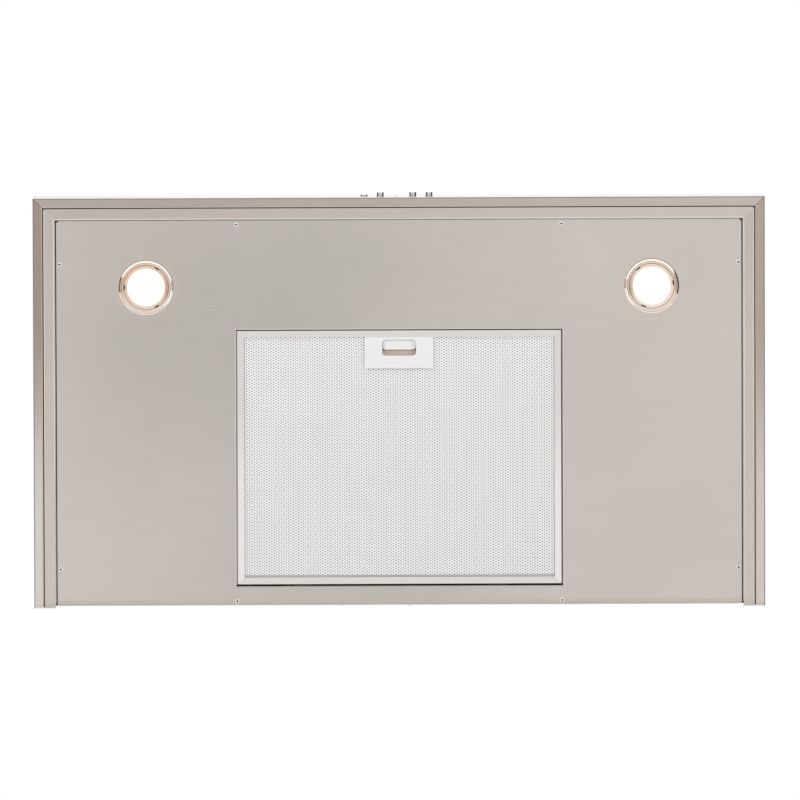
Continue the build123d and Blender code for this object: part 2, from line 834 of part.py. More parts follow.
# Rear mesh
rear_mesh_z = cavity_z + cavity_height - mesh_sheet
with BuildPart() as filter_rear_mesh:
    filter_layer(mesh_sheet, rear_mesh_z)
    mesh_openings(rear_mesh_columns, rear_mesh_rows, rear_mesh_z, housing_rear_y + mesh_strand)
filter_rear_mesh.part.label = "filter_rear_mesh"
export_step(filter_rear_mesh.part, "parts/filter_rear_mesh.step")

# Filter tabs: two hooks that lie on the panel behind the opening and carry the cassette's rear edge
with BuildPart() as filter_tabs:
    with BuildSketch(Plane.XY.offset(tab_z)):
        with Locations((0, filter_rear_y)):
            with GridLocations(tab_spacing, 0, 2, 1):
                Rectangle(tab_width, tab_reach, align=(Align.CENTER, Align.MIN))
    extrude(amount=sheet)
    fillet(filter_tabs.edges().filter_by(Axis.Z).group_by(Axis.Y)[-1], tab_corner)
filter_tabs.part.label = "filter_tabs"
export_step(filter_tabs.part, "parts/filter_tabs.step")

# Handle plate with its finger window
with BuildPart() as filter_handle_plate:
    with BuildSketch(Plane.XY.offset(filter_base_z - handle_sheet)):
        with Locations((0, handle_y)):
            RectangleRounded(handle_width, handle_length, handle_corner)
        with Locations((0, window_front_y + window_length / 2)):
            RectangleRounded(window_width, window_length, window_corner, mode=Mode.SUBTRACT)
    extrude(amount=handle_sheet)
filter_handle_plate.part.label = "filter_handle_plate"
export_step(filter_handle_plate.part, "parts/filter_handle_plate.step")

# Latch housing: closed tray behind the window
with BuildPart() as latch_housing:
    with BuildSketch(Plane.XY.offset(filter_base_z)):
        with Locations((0, housing_y)):
            Rectangle(housing_width, housing_length)
    extrude(amount=housing_depth + filter_sheet)
    with BuildSketch(Plane.XY.offset(filter_base_z)):
        with Locations((0, housing_y)):
            Rectangle(housing_width - 2 * filter_sheet, housing_length - 2 * filter_sheet)
    extrude(amount=housing_depth, mode=Mode.SUBTRACT)
    with BuildSketch(facing_front(housing_front_y, 0, latch_z)):
        Rectangle(tongue_width + 2 * latch_clearance, tongue_thickness + 2 * latch_clearance)
    extrude(amount=-filter_sheet, mode=Mode.SUBTRACT)
latch_housing.part.label = "latch_housing"
export_step(latch_housing.part, "parts/latch_housing.step")

# Latch slider: finger pad in the window, guide flanges behind the plate and the tongue
slider_rear_y = pad_front_y + pad_length + slider_tail
tongue_tip_y = -opening_rear - opening_length + latch_clearance
spring_pocket_radius = latch_spring_radius + latch_clearance
spring_front_y = pad_front_y + slider_flange + latch_travel + latch_clearance
with BuildPart() as latch_slider:
    with BuildSketch(Plane.XY.offset(filter_base_z - handle_sheet + seat_gap)):
        with Locations((0, pad_front_y + pad_length / 2)):
            RectangleRounded(slider_width, pad_length, window_corner - latch_clearance)
    extrude(amount=handle_sheet + slider_height / 2)
    with BuildSketch(Plane.XY.offset(filter_base_z + seat_gap)):
        with Locations((0, (pad_front_y + slider_rear_y) / 2)):
            Rectangle(slider_width + 2 * slider_flange, slider_rear_y - pad_front_y)
    extrude(amount=slider_height)
    with BuildSketch(Plane.XY.offset(tab_z)):
        with Locations((0, (tongue_tip_y + pad_front_y) / 2)):
            Rectangle(tongue_width, pad_front_y - tongue_tip_y)
    extrude(amount=tongue_thickness)
    with BuildSketch(facing_front(slider_rear_y, 0, spring_z)):
        with GridLocations(latch_spring_spacing, 0, 2, 1):
            Circle(spring_pocket_radius)
    extrude(amount=slider_rear_y - pad_front_y - slider_flange, mode=Mode.SUBTRACT)
latch_slider.part.label = "latch_slider"
export_step(latch_slider.part, "parts/latch_slider.step")

# Latch springs: shown at their pressed length, seated on the housing's rear wall
with BuildPart() as latch_springs:
    with BuildSketch(facing_front(housing_rear_y - filter_sheet, 0, spring_z)):
        with GridLocations(latch_spring_spacing, 0, 2, 1):
            Circle(latch_spring_radius)
            Circle(latch_spring_radius - latch_spring_wire, mode=Mode.SUBTRACT)
    extrude(amount=housing_rear_y - filter_sheet - spring_front_y)
latch_springs.part.label = "latch_springs"
export_step(latch_springs.part, "parts/latch_springs.step")


def lamp_profile(centre_x):
    """Half plane through a lamp's axis: local x is the radius, local y the height over the panel."""
    return Plane(origin=(centre_x, lamp_y, panel_z), x_dir=(1, 0, 0), z_dir=(0, -1, 0))


# Lamps: each is a set of turned pieces on one axis, clipped into the panel
cone_outer_radius = bezel_tube_radius - bezel_wall - seat_gap
lens_radius = cone_inner_radius + lens_overlap
cone_top = cone_rise + cone_thickness - bezel_drop
cup_base = bezel_tube_level
cup_top = cup_base + lamp_cup_height
socket_base = cup_top - socket_height * 0.4
clip_root = bezel_tube_radius + seat_gap
clip_end = bezel_tube_radius + clip_reach
for side_name, side in (("left", -1), ("right", 1)):
    centre_x = side * lamp_spacing / 2
    lamp_axis = Axis((centre_x, lamp_y, panel_z), (0, 0, 1))

    # Bezel: rounded trim ring with the tube that passes through the panel
    with BuildPart() as bezel:
        with BuildSketch(lamp_profile(centre_x)):
            with BuildLine():
                Polyline(
                    (bezel_radius, 0),
                    (bezel_tube_radius, 0),
                    (bezel_tube_radius, bezel_tube_level),
                    (bezel_tube_radius - bezel_wall, bezel_tube_level),
                    (bezel_tube_radius - bezel_wall, -bezel_drop),
                    (bezel_tube_radius, -bezel_drop),
                )
                RadiusArc((bezel_tube_radius, -bezel_drop), (bezel_radius, 0), -bezel_radius / 8)
            make_face()
        revolve(axis=lamp_axis)
    bezel.part.label = f"lamp_{side_name}_bezel"
    export_step(bezel.part, f"parts/lamp_{side_name}_bezel.step")

    # Cone ring: holds the lens and has three slots for the turning tool
    with BuildPart() as cone:
        with BuildSketch(lamp_profile(centre_x)):
            with BuildLine():
                Polyline(
                    (cone_outer_radius, -bezel_drop),
                    (cone_outer_radius, cone_top),
                    (cone_outer_radius - bezel_wall, cone_top),
                    (cone_outer_radius - bezel_wall, cone_thickness - bezel_drop),
                    (cone_inner_radius, cone_top),
                    (cone_inner_radius, cone_top - cone_thickness),
                    close=True,
                )
            make_face()
        revolve(axis=lamp_axis)
        with BuildSketch(Plane.XY.offset(panel_z - bezel_drop)):
            with Locations((centre_x, lamp_y)):
                with PolarLocations(cone_slot_radius, 3, start_angle=180 if side < 0 else 8):
                    Rectangle(cone_slot_width, cone_slot_length)
        extrude(amount=bezel_drop + cone_top, mode=Mode.SUBTRACT)
    cone.part.label = f"lamp_{side_name}_cone_ring"
    export_step(cone.part, f"parts/lamp_{side_name}_cone_ring.step")

    # Lens: frosted disc on the cone ring
    with BuildPart() as lens:
        with BuildSketch(Plane.XY.offset(panel_z + cone_top)):
            with Locations((centre_x, lamp_y)):
                Circle(lens_radius)
        extrude(amount=lens_thickness)
        chamfer(lens.edges(), lens_thickness / 8)
    lens.part.label = f"lamp_{side_name}_lens"
    export_step(lens.part, f"parts/lamp_{side_name}_lens.step")

    # Housing: deep cup on the tube's end, open towards the lens, with the socket's hole on top
    with BuildPart() as cup:
        with BuildSketch(lamp_profile(centre_x)):
            with BuildLine():
                Polyline(
                    (lamp_flange_radius, cup_base),
                    (lamp_cup_radius - sheet, cup_base),
                    (lamp_cup_radius - sheet, cup_base + lamp_cup_height / 2),
                    (socket_radius + seat_gap + sheet, cup_top - sheet),
                    (socket_radius + seat_gap, cup_top - sheet),
                    (socket_radius + seat_gap, cup_top),
                    (socket_radius + seat_gap + 1.5 * sheet, cup_top),
                    (lamp_cup_radius, cup_base + lamp_cup_height / 2),
                    (lamp_cup_radius, cup_base + sheet),
                    (lamp_flange_radius, cup_base + sheet),
                    close=True,
                )
            make_face()
        revolve(axis=lamp_axis)
    cup.part.label = f"lamp_{side_name}_housing"
    export_step(cup.part, f"parts/lamp_{side_name}_housing.step")

    # Socket: ceramic body in the housing's top, with the bulb's pin holes
    with BuildPart() as socket:
        with BuildSketch(Plane.XY.offset(panel_z + socket_base)):
            with Locations((centre_x, lamp_y)):
                Circle(socket_radius)
        extrude(amount=socket_height)
        with BuildSketch(Plane.XY.offset(panel_z + cup_top)):
            with Locations((centre_x, lamp_y)):
                Circle(socket_radius + 2 * sheet)
                Circle(socket_radius - seat_gap, mode=Mode.SUBTRACT)
        extrude(amount=2 * sheet)
    socket.part.label = f"lamp_{side_name}_socket"
    export_step(socket.part, f"parts/lamp_{side_name}_socket.step")

    # Bulb: capsule hanging from the socket
    with BuildPart() as bulb:
        with BuildSketch(Plane.XY.offset(panel_z + socket_base - bulb_length)):
            with Locations((centre_x, lamp_y)):
                Circle(bulb_radius)
        extrude(amount=bulb_length)
        fillet(bulb.edges().group_by(Axis.Z)[0], bulb_radius * 0.8)
    bulb.part.label = f"lamp_{side_name}_bulb"
    export_step(bulb.part, f"parts/lamp_{side_name}_bulb.step")

    # Clips: leaf springs that press the panel between them and the bezel's flange
    with BuildPart() as clips:
        for end in (-1, 1):
            clip_plane = Plane(origin=(centre_x, lamp_y, panel_z), x_dir=(end, 0, 0), z_dir=(0, -end, 0))
            with BuildSketch(clip_plane):
                with BuildLine():
                    Polyline(
                        (clip_root, clip_level - clip_leg),
                        (clip_root, clip_level),
                        (clip_end, sheet + clip_sheet),
                        (clip_end + clip_tip, sheet + clip_sheet),
                        (clip_end + clip_tip, sheet),
                        (clip_end - clip_sheet, sheet),
                        (clip_root + clip_sheet, clip_level - clip_leg / 2),
                        (clip_root + clip_sheet, clip_level - clip_leg),
                        close=True,
                    )
                make_face()
            extrude(amount=clip_width / 2, both=True)
    clips.part.label = f"lamp_{side_name}_clips"
    export_step(clips.part, f"parts/lamp_{side_name}_clips.step")

# Switch body: one moulding behind the fascia that guides the four buttons and holds the pilot lamp
switch_front_y = fascia_y + sheet
cavity_front_y = switch_front_y + switch_front_wall
with BuildPart() as switch_body:
    with BuildSketch(facing_front(switch_front_y, controls_x, button_z)):
        Rectangle(switch_width, switch_height)
    extrude(amount=-switch_depth)
    with BuildSketch(facing_front(switch_front_y)):
        with Locations(*[(x, button_z) for x in button_xs.values()]):
            Circle(button_radius + button_clearance)
    extrude(amount=-switch_front_wall, mode=Mode.SUBTRACT)
    with BuildSketch(facing_front(cavity_front_y)):
        with Locations(*[(x, button_z) for x in button_xs.values()]):
            Circle(button_collar_radius + button_clearance)
    extrude(amount=-switch_cavity, mode=Mode.SUBTRACT)
    with BuildSketch(facing_front(cavity_front_y + switch_cavity)):
        with Locations(*[(x, button_z) for x in button_xs.values()]):
            Circle(button_stem_radius + stem_clearance)
    extrude(amount=-switch_depth, mode=Mode.SUBTRACT)
    with BuildSketch(facing_front(switch_front_y)):
        with Locations((controls_x, button_z)):
            Circle(pilot_radius + stem_clearance)
    extrude(amount=-pilot_length, mode=Mode.SUBTRACT)
    for corners in (slice(0, 2), slice(-2, None)):
        fillet(switch_body.edges().filter_by(Axis.Y).sort_by(Axis.X)[corners], switch_corner)
switch_body.part.label = "switch_body"
export_step(switch_body.part, "parts/switch_body.step")

# Push buttons: cap, retaining collar and guided stem; the lamp button rests latched in
for button_name, x in button_xs.items():
    pushed = button_latch if button_name == "button_light" else 0
    cap_front_y = fascia_y - button_out + pushed
    collar_front_y = cavity_front_y + button_clearance + pushed
    with BuildPart() as button:
        with BuildSketch(facing_front(cap_front_y, x, button_z)):
            Circle(button_radius)
        extrude(amount=-button_cap_length)
        fillet(button.edges().group_by(Axis.Y)[0], button_round)
        with BuildSketch(facing_front(collar_front_y, x, button_z)):
            Circle(button_collar_radius)
        extrude(amount=-button_collar_length)
        with BuildSketch(facing_front(cap_front_y + button_cap_length, x, button_z)):
            Circle(button_stem_radius)
        extrude(amount=-button_stem_length)
    button.part.label = button_name
    export_step(button.part, f"parts/{button_name}.step")

# Pilot lamp: small dome in the fascia
with BuildPart() as pilot_lamp:
    with BuildSketch(facing_front(fascia_y - pilot_out, controls_x, button_z)):
        Circle(pilot_radius)
    extrude(amount=-pilot_length)
    fillet(pilot_lamp.edges().group_by(Axis.Y)[0], pilot_radius * 0.4)
pilot_lamp.part.label = "pilot_lamp"
export_step(pilot_lamp.part, "parts/pilot_lamp.step")

# Blower
axis_y = -axis_to_wall
axis_z = z_at(axis_level)
neck_half = blower_half_width
neck_rear_y = duct_y + neck_half
neck_front_y = duct_y - neck_half
scroll_a = Vector(neck_rear_y - scroll_start_radius, axis_z + scroll_step / 2)
scroll_b = scroll_a - Vector(0, scroll_step)
scroll_c = scroll_b - Vector(scroll_step, 0)
radius_b = scroll_start_radius - scroll_step
radius_c = radius_b - scroll_step
cover_x = blower_half_width + blower_sheet


def scroll_face():
    """Outline of the scroll: three quarter arcs of shrinking radius and the neck up to the deck."""
    with BuildLine() as outline:
        Line((neck_rear_y, deck_z), (neck_rear_y, scroll_a.Y))
        CenterArc((scroll_a.X, scroll_a.Y), scroll_start_radius, 0, -90)
        CenterArc((scroll_b.X, scroll_b.Y), radius_b, -90, -90)
        CenterArc((scroll_c.X, scroll_c.Y), radius_c, 180, -90)
        Polyline(
            (scroll_c.X, scroll_c.Y + radius_c),
            (neck_front_y, deck_z - neck_collar),
            (neck_front_y, deck_z),
            (neck_rear_y, deck_z),
        )
    make_face(outline.edges())


# Scroll: the wrapped wall between the two side covers
with BuildPart() as blower_scroll:
    with BuildSketch(facing_x(-blower_half_width)):
        scroll_face()
        offset(amount=-blower_sheet, mode=Mode.SUBTRACT)
        with Locations((duct_y, deck_z)):
            Rectangle(2 * (neck_half - blower_sheet), 3 * blower_sheet, mode=Mode.SUBTRACT)
    extrude(amount=2 * blower_half_width)
blower_scroll.part.label = "blower_scroll"
export_step(blower_scroll.part, "parts/blower_scroll.step")

# Side covers: each has a rolled inlet lip and the threaded holes of the motor bracket
bracket_screw_radius = (inlet_radius + bracket_reach) / 2
for side_name, side in (("left", -1), ("right", 1)):
    with BuildPart() as cover:
        with BuildSketch(facing_x(side * blower_half_width)):
            scroll_face()
        extrude(amount=side * blower_sheet)
        with BuildSketch(facing_x(side * cover_x, -axis_to_wall, axis_z)):
            Circle(inlet_radius + blower_sheet)
        extrude(amount=-side * (inlet_lip + blower_sheet))
        with BuildSketch(facing_x(side * cover_x, -axis_to_wall, axis_z)):
            Circle(inlet_radius)
            with PolarLocations(bracket_screw_radius, 3, start_angle=90):
                Circle(screw_radius)
        extrude(amount=-side * (inlet_lip + 2 * blower_sheet), mode=Mode.SUBTRACT)
    cover.part.label = f"blower_cover_{side_name}"
    export_step(cover.part, f"parts/blower_cover_{side_name}.step")

# Motor bracket: three arms across the left inlet
with BuildPart() as motor_bracket:
    with BuildSketch(facing_x(-cover_x, axis_y, axis_z)):
        Circle(bracket_ring_radius)
        with PolarLocations(bracket_reach / 2, 3, start_angle=90):
            Rectangle(bracket_reach, bracket_arm_width)
        Circle(shaft_radius + bracket_thickness, mode=Mode.SUBTRACT)
        with PolarLocations(bracket_screw_radius, 3, start_angle=90):
            Circle(screw_radius + screw_clearance, mode=Mode.SUBTRACT)
    extrude(amount=-bracket_thickness)
motor_bracket.part.label = "motor_bracket"
export_step(motor_bracket.part, "parts/motor_bracket.step")

# Motor: can with a bore for its shaft, bolted to the bracket's ring
motor_length = hub_start - motor_gap + cover_x
with BuildPart() as motor:
    with BuildSketch(facing_x(-cover_x, axis_y, axis_z)):
        Circle(motor_radius)
    extrude(amount=motor_length)
    fillet(motor.edges().filter_by(GeomType.CIRCLE), motor_corner)
    with BuildSketch(facing_x(-cover_x, axis_y, axis_z)):
        Circle(shaft_radius + shaft_clearance)
    extrude(amount=motor_length, mode=Mode.SUBTRACT)
motor.part.label = "motor"
export_step(motor.part, "parts/motor.step")

# Motor shaft
with BuildPart() as motor_shaft:
    with BuildSketch(facing_x(-cover_x - bracket_thickness - motor_gap, axis_y, axis_z)):
        Circle(shaft_radius)
    extrude(amount=cover_x + bracket_thickness + motor_gap + hub_start + hub_length + motor_gap)
    chamfer(motor_shaft.edges(), shaft_chamfer)
motor_shaft.part.label = "motor_shaft"
export_step(motor_shaft.part, "parts/motor_shaft.step")

# Impeller: two rows of blades on a centre disc, tied by end rings
with BuildPart() as impeller:
    with BuildSketch(facing_x(-impeller_length / 2, axis_y, axis_z)):
        with PolarLocations(impeller_radius - blade_chord / 2, blade_count):
            Rectangle(blade_chord, blade_thickness, rotation=blade_angle)
    extrude(amount=impeller_length)
    for x in (-impeller_length / 2, impeller_length / 2 - impeller_ring):
        with BuildSketch(facing_x(x, axis_y, axis_z)):
            Circle(impeller_radius)
            Circle(impeller_radius - impeller_ring_width, mode=Mode.SUBTRACT)
        extrude(amount=impeller_ring)
    with BuildSketch(facing_x(-impeller_ring / 2, axis_y, axis_z)):
        Circle(impeller_radius)
    extrude(amount=impeller_ring)
    with BuildSketch(facing_x(hub_start, axis_y, axis_z)):
        Circle(hub_radius)
    extrude(amount=hub_length)
    with BuildSketch(facing_x(hub_start, axis_y, axis_z)):
        Circle(shaft_radius)
    extrude(amount=hub_length, mode=Mode.SUBTRACT)
impeller.part.label = "impeller"
export_step(impeller.part, "parts/impeller.step")

# Bracket screw places, in the local axes of a plane across X
bracket_screw_places = [
    (
        axis_y + bracket_screw_radius * cos(radians(90 + turn)),
        axis_z + bracket_screw_radius * sin(radians(90 + turn)),
    )
    for turn in (0, 120, 240)
]

# Blower deck: plate under the roof opening that the scroll hangs from
with BuildPart() as blower_deck:
    with BuildSketch(Plane.XY.offset(deck_z)):
        with Locations((0, duct_y)):
            Rectangle(chimney_width - 2 * deck_margin, chimney_depth - 2 * deck_margin)
            Circle(collar_radius - collar_wall, mode=Mode.SUBTRACT)
        with Locations(*deck_screws):
            Circle(screw_radius, mode=Mode.SUBTRACT)
    extrude(amount=deck_thickness)
blower_deck.part.label = "blower_deck"
export_step(blower_deck.part, "parts/blower_deck.step")

# Duct collar: flanged spigot on the deck, with the ledge that the closed damper rests on
collar_base_z = deck_z + deck_thickness
pin_z = collar_base_z + damper_level
ledge_z = pin_z - flap_thickness / 2 - seat_gap
pin_length = 2 * collar_radius
with BuildPart() as duct_collar:
    with BuildSketch(Plane.XY.offset(collar_base_z)):
        with Locations((0, duct_y)):
            Circle(collar_radius + collar_flange)
    extrude(amount=collar_wall)
    with BuildSketch(Plane.XY.offset(collar_base_z)):
        with Locations((0, duct_y)):
            Circle(collar_radius)
    extrude(amount=collar_height)
    with BuildSketch(Plane.XY.offset(collar_base_z)):
        with Locations((0, duct_y)):
            Circle(collar_radius - collar_wall)
    extrude(amount=collar_height, mode=Mode.SUBTRACT)
    with BuildSketch(Plane.XY.offset(ledge_z)):
        with Locations((0, duct_y)):
            Circle(collar_radius - collar_wall / 2)
            Circle(collar_radius - collar_wall - damper_ledge, mode=Mode.SUBTRACT)
    extrude(amount=-collar_wall)
    with BuildSketch(facing_x(-collar_radius, duct_y, pin_z)):
        Circle(damper_pin_radius)
    extrude(amount=pin_length, mode=Mode.SUBTRACT)
duct_collar.part.label = "duct_collar"
export_step(duct_collar.part, "parts/duct_collar.step")

# Damper pin: runs across the collar and carries both flaps
with BuildPart() as damper_pin:
    with BuildSketch(facing_x(-collar_radius, duct_y, pin_z)):
        Circle(damper_pin_radius)
    extrude(amount=pin_length)
damper_pin.part.label = "damper_pin"
export_step(damper_pin.part, "parts/damper_pin.step")

# Damper flaps: half discs whose knuckles share the pin turn about
flap_radius = collar_radius - collar_wall - flap_gap
for flap_name, side in (("front", -1), ("rear", 1)):
    knuckle_xs = (side * knuckle_spacing / 2, -side * 1.5 * knuckle_spacing)
    with BuildPart() as flap:
        with BuildSketch(Plane.XY.offset(pin_z - flap_thickness / 2)):
            with Locations((0, duct_y)):
                Circle(flap_radius)
                with Locations((0, side * flap_root)):
                    Rectangle(
                        2 * collar_radius,
                        2 * collar_radius,
                        align=(Align.CENTER, Align.MAX if side > 0 else Align.MIN),
                        mode=Mode.SUBTRACT,
                    )
            for x in knuckle_xs:
                with Locations((x, duct_y)):
                    Rectangle(
                        knuckle_length,
                        flap_root + flap_thickness,
                        align=(Align.CENTER, Align.MIN if side > 0 else Align.MAX),
                    )
        extrude(amount=flap_thickness)
        for x in knuckle_xs:
            with BuildSketch(facing_x(x - knuckle_length / 2, duct_y, pin_z)):
                Circle(knuckle_radius)
            extrude(amount=knuckle_length)
        with BuildSketch(facing_x(-collar_radius, duct_y, pin_z)):
            Circle(damper_pin_radius + damper_clearance)
        extrude(amount=pin_length, mode=Mode.SUBTRACT)
    flap.part.label = f"damper_flap_{flap_name}"
    export_step(flap.part, f"parts/damper_flap_{flap_name}.step")

# Terminal box: open moulding on the back plate, closed by a lid at its front
box_width, box_depth, box_height = terminal_box_size
box_rear_y = -plate_thickness
box_front_y = box_rear_y - box_depth
box_z = z_at(terminal_box_level) + box_height / 2
lid_screw_x = box_width / 2 - lid_screw_inset
lid_screw_z = box_height / 2 - lid_screw_inset
lid_screws = [
    (terminal_box_x + side * lid_screw_x, box_z + end * lid_screw_z)
    for side in (-1, 1)
    for end in (-1, 1)
]
with BuildPart() as terminal_box:
    with BuildSketch(facing_front(box_rear_y, terminal_box_x, box_z)):
        RectangleRounded(box_width, box_height, terminal_box_corner)
    extrude(amount=box_depth)
    with BuildSketch(facing_front(box_rear_y - terminal_box_wall, terminal_box_x, box_z)):
        Rectangle(box_width - 2 * terminal_box_wall, box_height - 2 * terminal_box_wall)
    extrude(amount=box_depth, mode=Mode.SUBTRACT)
    with BuildSketch(facing_front(box_rear_y)):
        with Locations(*lid_screws):
            Circle(screw_radius + terminal_box_wall)
    extrude(amount=box_depth)
    with BuildSketch(facing_front(box_front_y)):
        with Locations(*lid_screws):
            Circle(screw_radius)
    extrude(amount=-2 * screw_length, mode=Mode.SUBTRACT)
    with BuildSketch(Plane.XY.offset(box_z + box_height / 2)):
        with Locations((terminal_box_x, box_rear_y - box_depth / 2)):
            Circle(gland_radius - gland_wall)
    extrude(amount=-terminal_box_wall, mode=Mode.SUBTRACT)
terminal_box.part.label = "terminal_box"
export_step(terminal_box.part, "parts/terminal_box.step")

with BuildPart() as terminal_box_lid:
    with BuildSketch(facing_front(box_front_y, terminal_box_x, box_z)):
        RectangleRounded(box_width, box_height, terminal_box_corner)
    extrude(amount=terminal_box_wall)
    with BuildSketch(facing_front(box_front_y)):
        with Locations(*lid_screws):
            Circle(screw_radius + screw_clearance)
    extrude(amount=terminal_box_wall, mode=Mode.SUBTRACT)
terminal_box_lid.part.label = "terminal_box_lid"
export_step(terminal_box_lid.part, "parts/terminal_box_lid.step")

# Inner screws: motor bracket to cover, roof to deck, lid to terminal box
inner_screws = screw_group(
    [
        Plane(origin=(-cover_x - bracket_thickness, y, z), x_dir=(0, 1, 0), z_dir=(-1, 0, 0))
        for y, z in bracket_screw_places
    ]
    + [Plane(origin=(x, y, roof_z), x_dir=(1, 0, 0), z_dir=(0, 0, 1)) for x, y in deck_screws]
    + [facing_front(box_front_y - terminal_box_wall, x, z) for x, z in lid_screws]
)
inner_screws.label = "inner_screws"
export_step(inner_screws, "parts/inner_screws.step")

# Terminal block: stands on the box's rear wall
block_width, block_depth, block_height = terminal_block_size
block_front_y = box_rear_y - terminal_box_wall - block_depth
with BuildPart() as terminal_block:
    with BuildSketch(facing_front(block_front_y + block_depth, terminal_box_x, box_z)):
        Rectangle(block_width, block_height)
    extrude(amount=block_depth)
    with BuildSketch(facing_front(block_front_y, terminal_box_x, box_z)):
        with GridLocations(block_width / 5, block_height / 2, 5, 2):
            Circle(screw_radius)
    extrude(amount=-block_depth / 2, mode=Mode.SUBTRACT)
terminal_block.part.label = "terminal_block"
export_step(terminal_block.part, "parts/terminal_block.step")

# Cable gland: in the box's top wall, with a through bore for the mains lead
with BuildPart() as cable_gland:
    with BuildSketch(Plane.XY.offset(box_z + box_height / 2)):
        with Locations((terminal_box_x, box_rear_y - box_depth / 2)):
            RegularPolygon(gland_nut / 2, 6)
    extrude(amount=gland_length * 0.35)
    with BuildSketch(Plane.XY.offset(box_z + box_height / 2)):
        with Locations((terminal_box_x, box_rear_y - box_depth / 2)):
            Circle(gland_radius)
    extrude(amount=gland_length)
    with BuildSketch(Plane.XY.offset(box_z + box_height / 2)):
        with Locations((terminal_box_x, box_rear_y - box_depth / 2)):
            Circle(gland_radius - gland_wall)
    extrude(amount=-gland_length * 0.35)
    with BuildSketch(Plane.XY.offset(box_z + box_height / 2 - gland_length)):
        with Locations((terminal_box_x, box_rear_y - box_depth / 2)):
            Circle(gland_bore)
    extrude(amount=2 * gland_length, mode=Mode.SUBTRACT)
    fillet(cable_gland.edges().group_by(Axis.Z)[-1], gland_round)
cable_gland.part.label = "cable_gland"
export_step(cable_gland.part, "parts/cable_gland.step")

# Run capacitor: can held against the back plate by a clip
capacitor_y = box_rear_y - capacitor_radius - seat_gap
tag_thickness, tag_width, tag_length = capacitor_tag
with BuildPart() as run_capacitor:
    with BuildSketch(Plane.XY.offset(z_at(capacitor_level))):
        with Locations((capacitor_x, capacitor_y)):
            Circle(capacitor_radius)
    extrude(amount=capacitor_length)
    fillet(run_capacitor.edges(), capacitor_round)
    with BuildSketch(Plane.XY.offset(z_at(capacitor_level) + capacitor_length)):
        with Locations((capacitor_x, capacitor_y)):
            with GridLocations(capacitor_radius, 0, 2, 1):
                Rectangle(tag_thickness, tag_width)
    extrude(amount=tag_length)
run_capacitor.part.label = "run_capacitor"
export_step(run_capacitor.part, "parts/run_capacitor.step")

clip_outer = capacitor_radius + seat_gap + plate_thickness
clip_base_level = capacitor_level + (capacitor_length - capacitor_clip_width) / 2
with BuildPart() as capacitor_clip:
    with BuildSketch(Plane.XY.offset(z_at(clip_base_level))):
        with Locations((capacitor_x, capacitor_y)):
            Circle(clip_outer)
            Rectangle(2 * clip_outer, clip_outer, align=(Align.CENTER, Align.MIN))
        with Locations((capacitor_x, box_rear_y)):
            Rectangle(
                2 * (clip_outer + capacitor_clip_ear),
                plate_thickness,
                align=(Align.CENTER, Align.MAX),
            )
        with Locations((capacitor_x, capacitor_y)):
            Circle(capacitor_radius + seat_gap, mode=Mode.SUBTRACT)
        with Locations((capacitor_x, capacitor_y)):
            Rectangle(
                2 * (capacitor_radius + seat_gap),
                2 * clip_outer,
                align=(Align.CENTER, Align.MIN),
                mode=Mode.SUBTRACT,
            )
        with Locations((capacitor_x, box_rear_y)):
            Rectangle(4 * clip_outer, 2 * clip_outer, align=(Align.CENTER, Align.MIN), mode=Mode.SUBTRACT)
    extrude(amount=capacitor_clip_width)
capacitor_clip.part.label = "capacitor_clip"
export_step(capacitor_clip.part, "parts/capacitor_clip.step")

# Lamp transformer: moulded block with two fixing ears on the back plate
core_width, core_depth, core_height = transformer_size
core_z = z_at(transformer_level) + core_height / 2
with BuildPart() as lamp_transformer:
    with BuildSketch(facing_front(box_rear_y, transformer_x, core_z)):
        RectangleRounded(core_width, core_height, transformer_corner)
    extrude(amount=core_depth)
    fillet(lamp_transformer.faces().sort_by(Axis.Y)[0].edges(), transformer_round)
    with BuildSketch(facing_front(box_rear_y, transformer_x, core_z)):
        RectangleRounded(core_width + 2 * transformer_ear, core_height * 0.6, transformer_corner)
        with GridLocations(core_width + transformer_ear, 0, 2, 1):
            Circle(screw_radius, mode=Mode.SUBTRACT)
    extrude(amount=2 * plate_thickness)
lamp_transformer.part.label = "lamp_transformer"
export_step(lamp_transformer.part, "parts/lamp_transformer.step")
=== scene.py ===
# %% [markdown]
# # A wall mount range hood, seen from below
#
# The object is a stainless steel cooker hood. The picture looks almost straight up at its underside:
# a narrow outer flange, an inner rim, a flat panel with two lit lamps, and a mesh grease filter.
# The sizes and the places of all solid parts come ready made from a fixed model, in metres.
# This lesson adds the camera, the studio, the finishes and the pieces that are too fine for the model.

import math

import bpy
from mathutils import Euler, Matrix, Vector
from mathutils.kdtree import KDTree


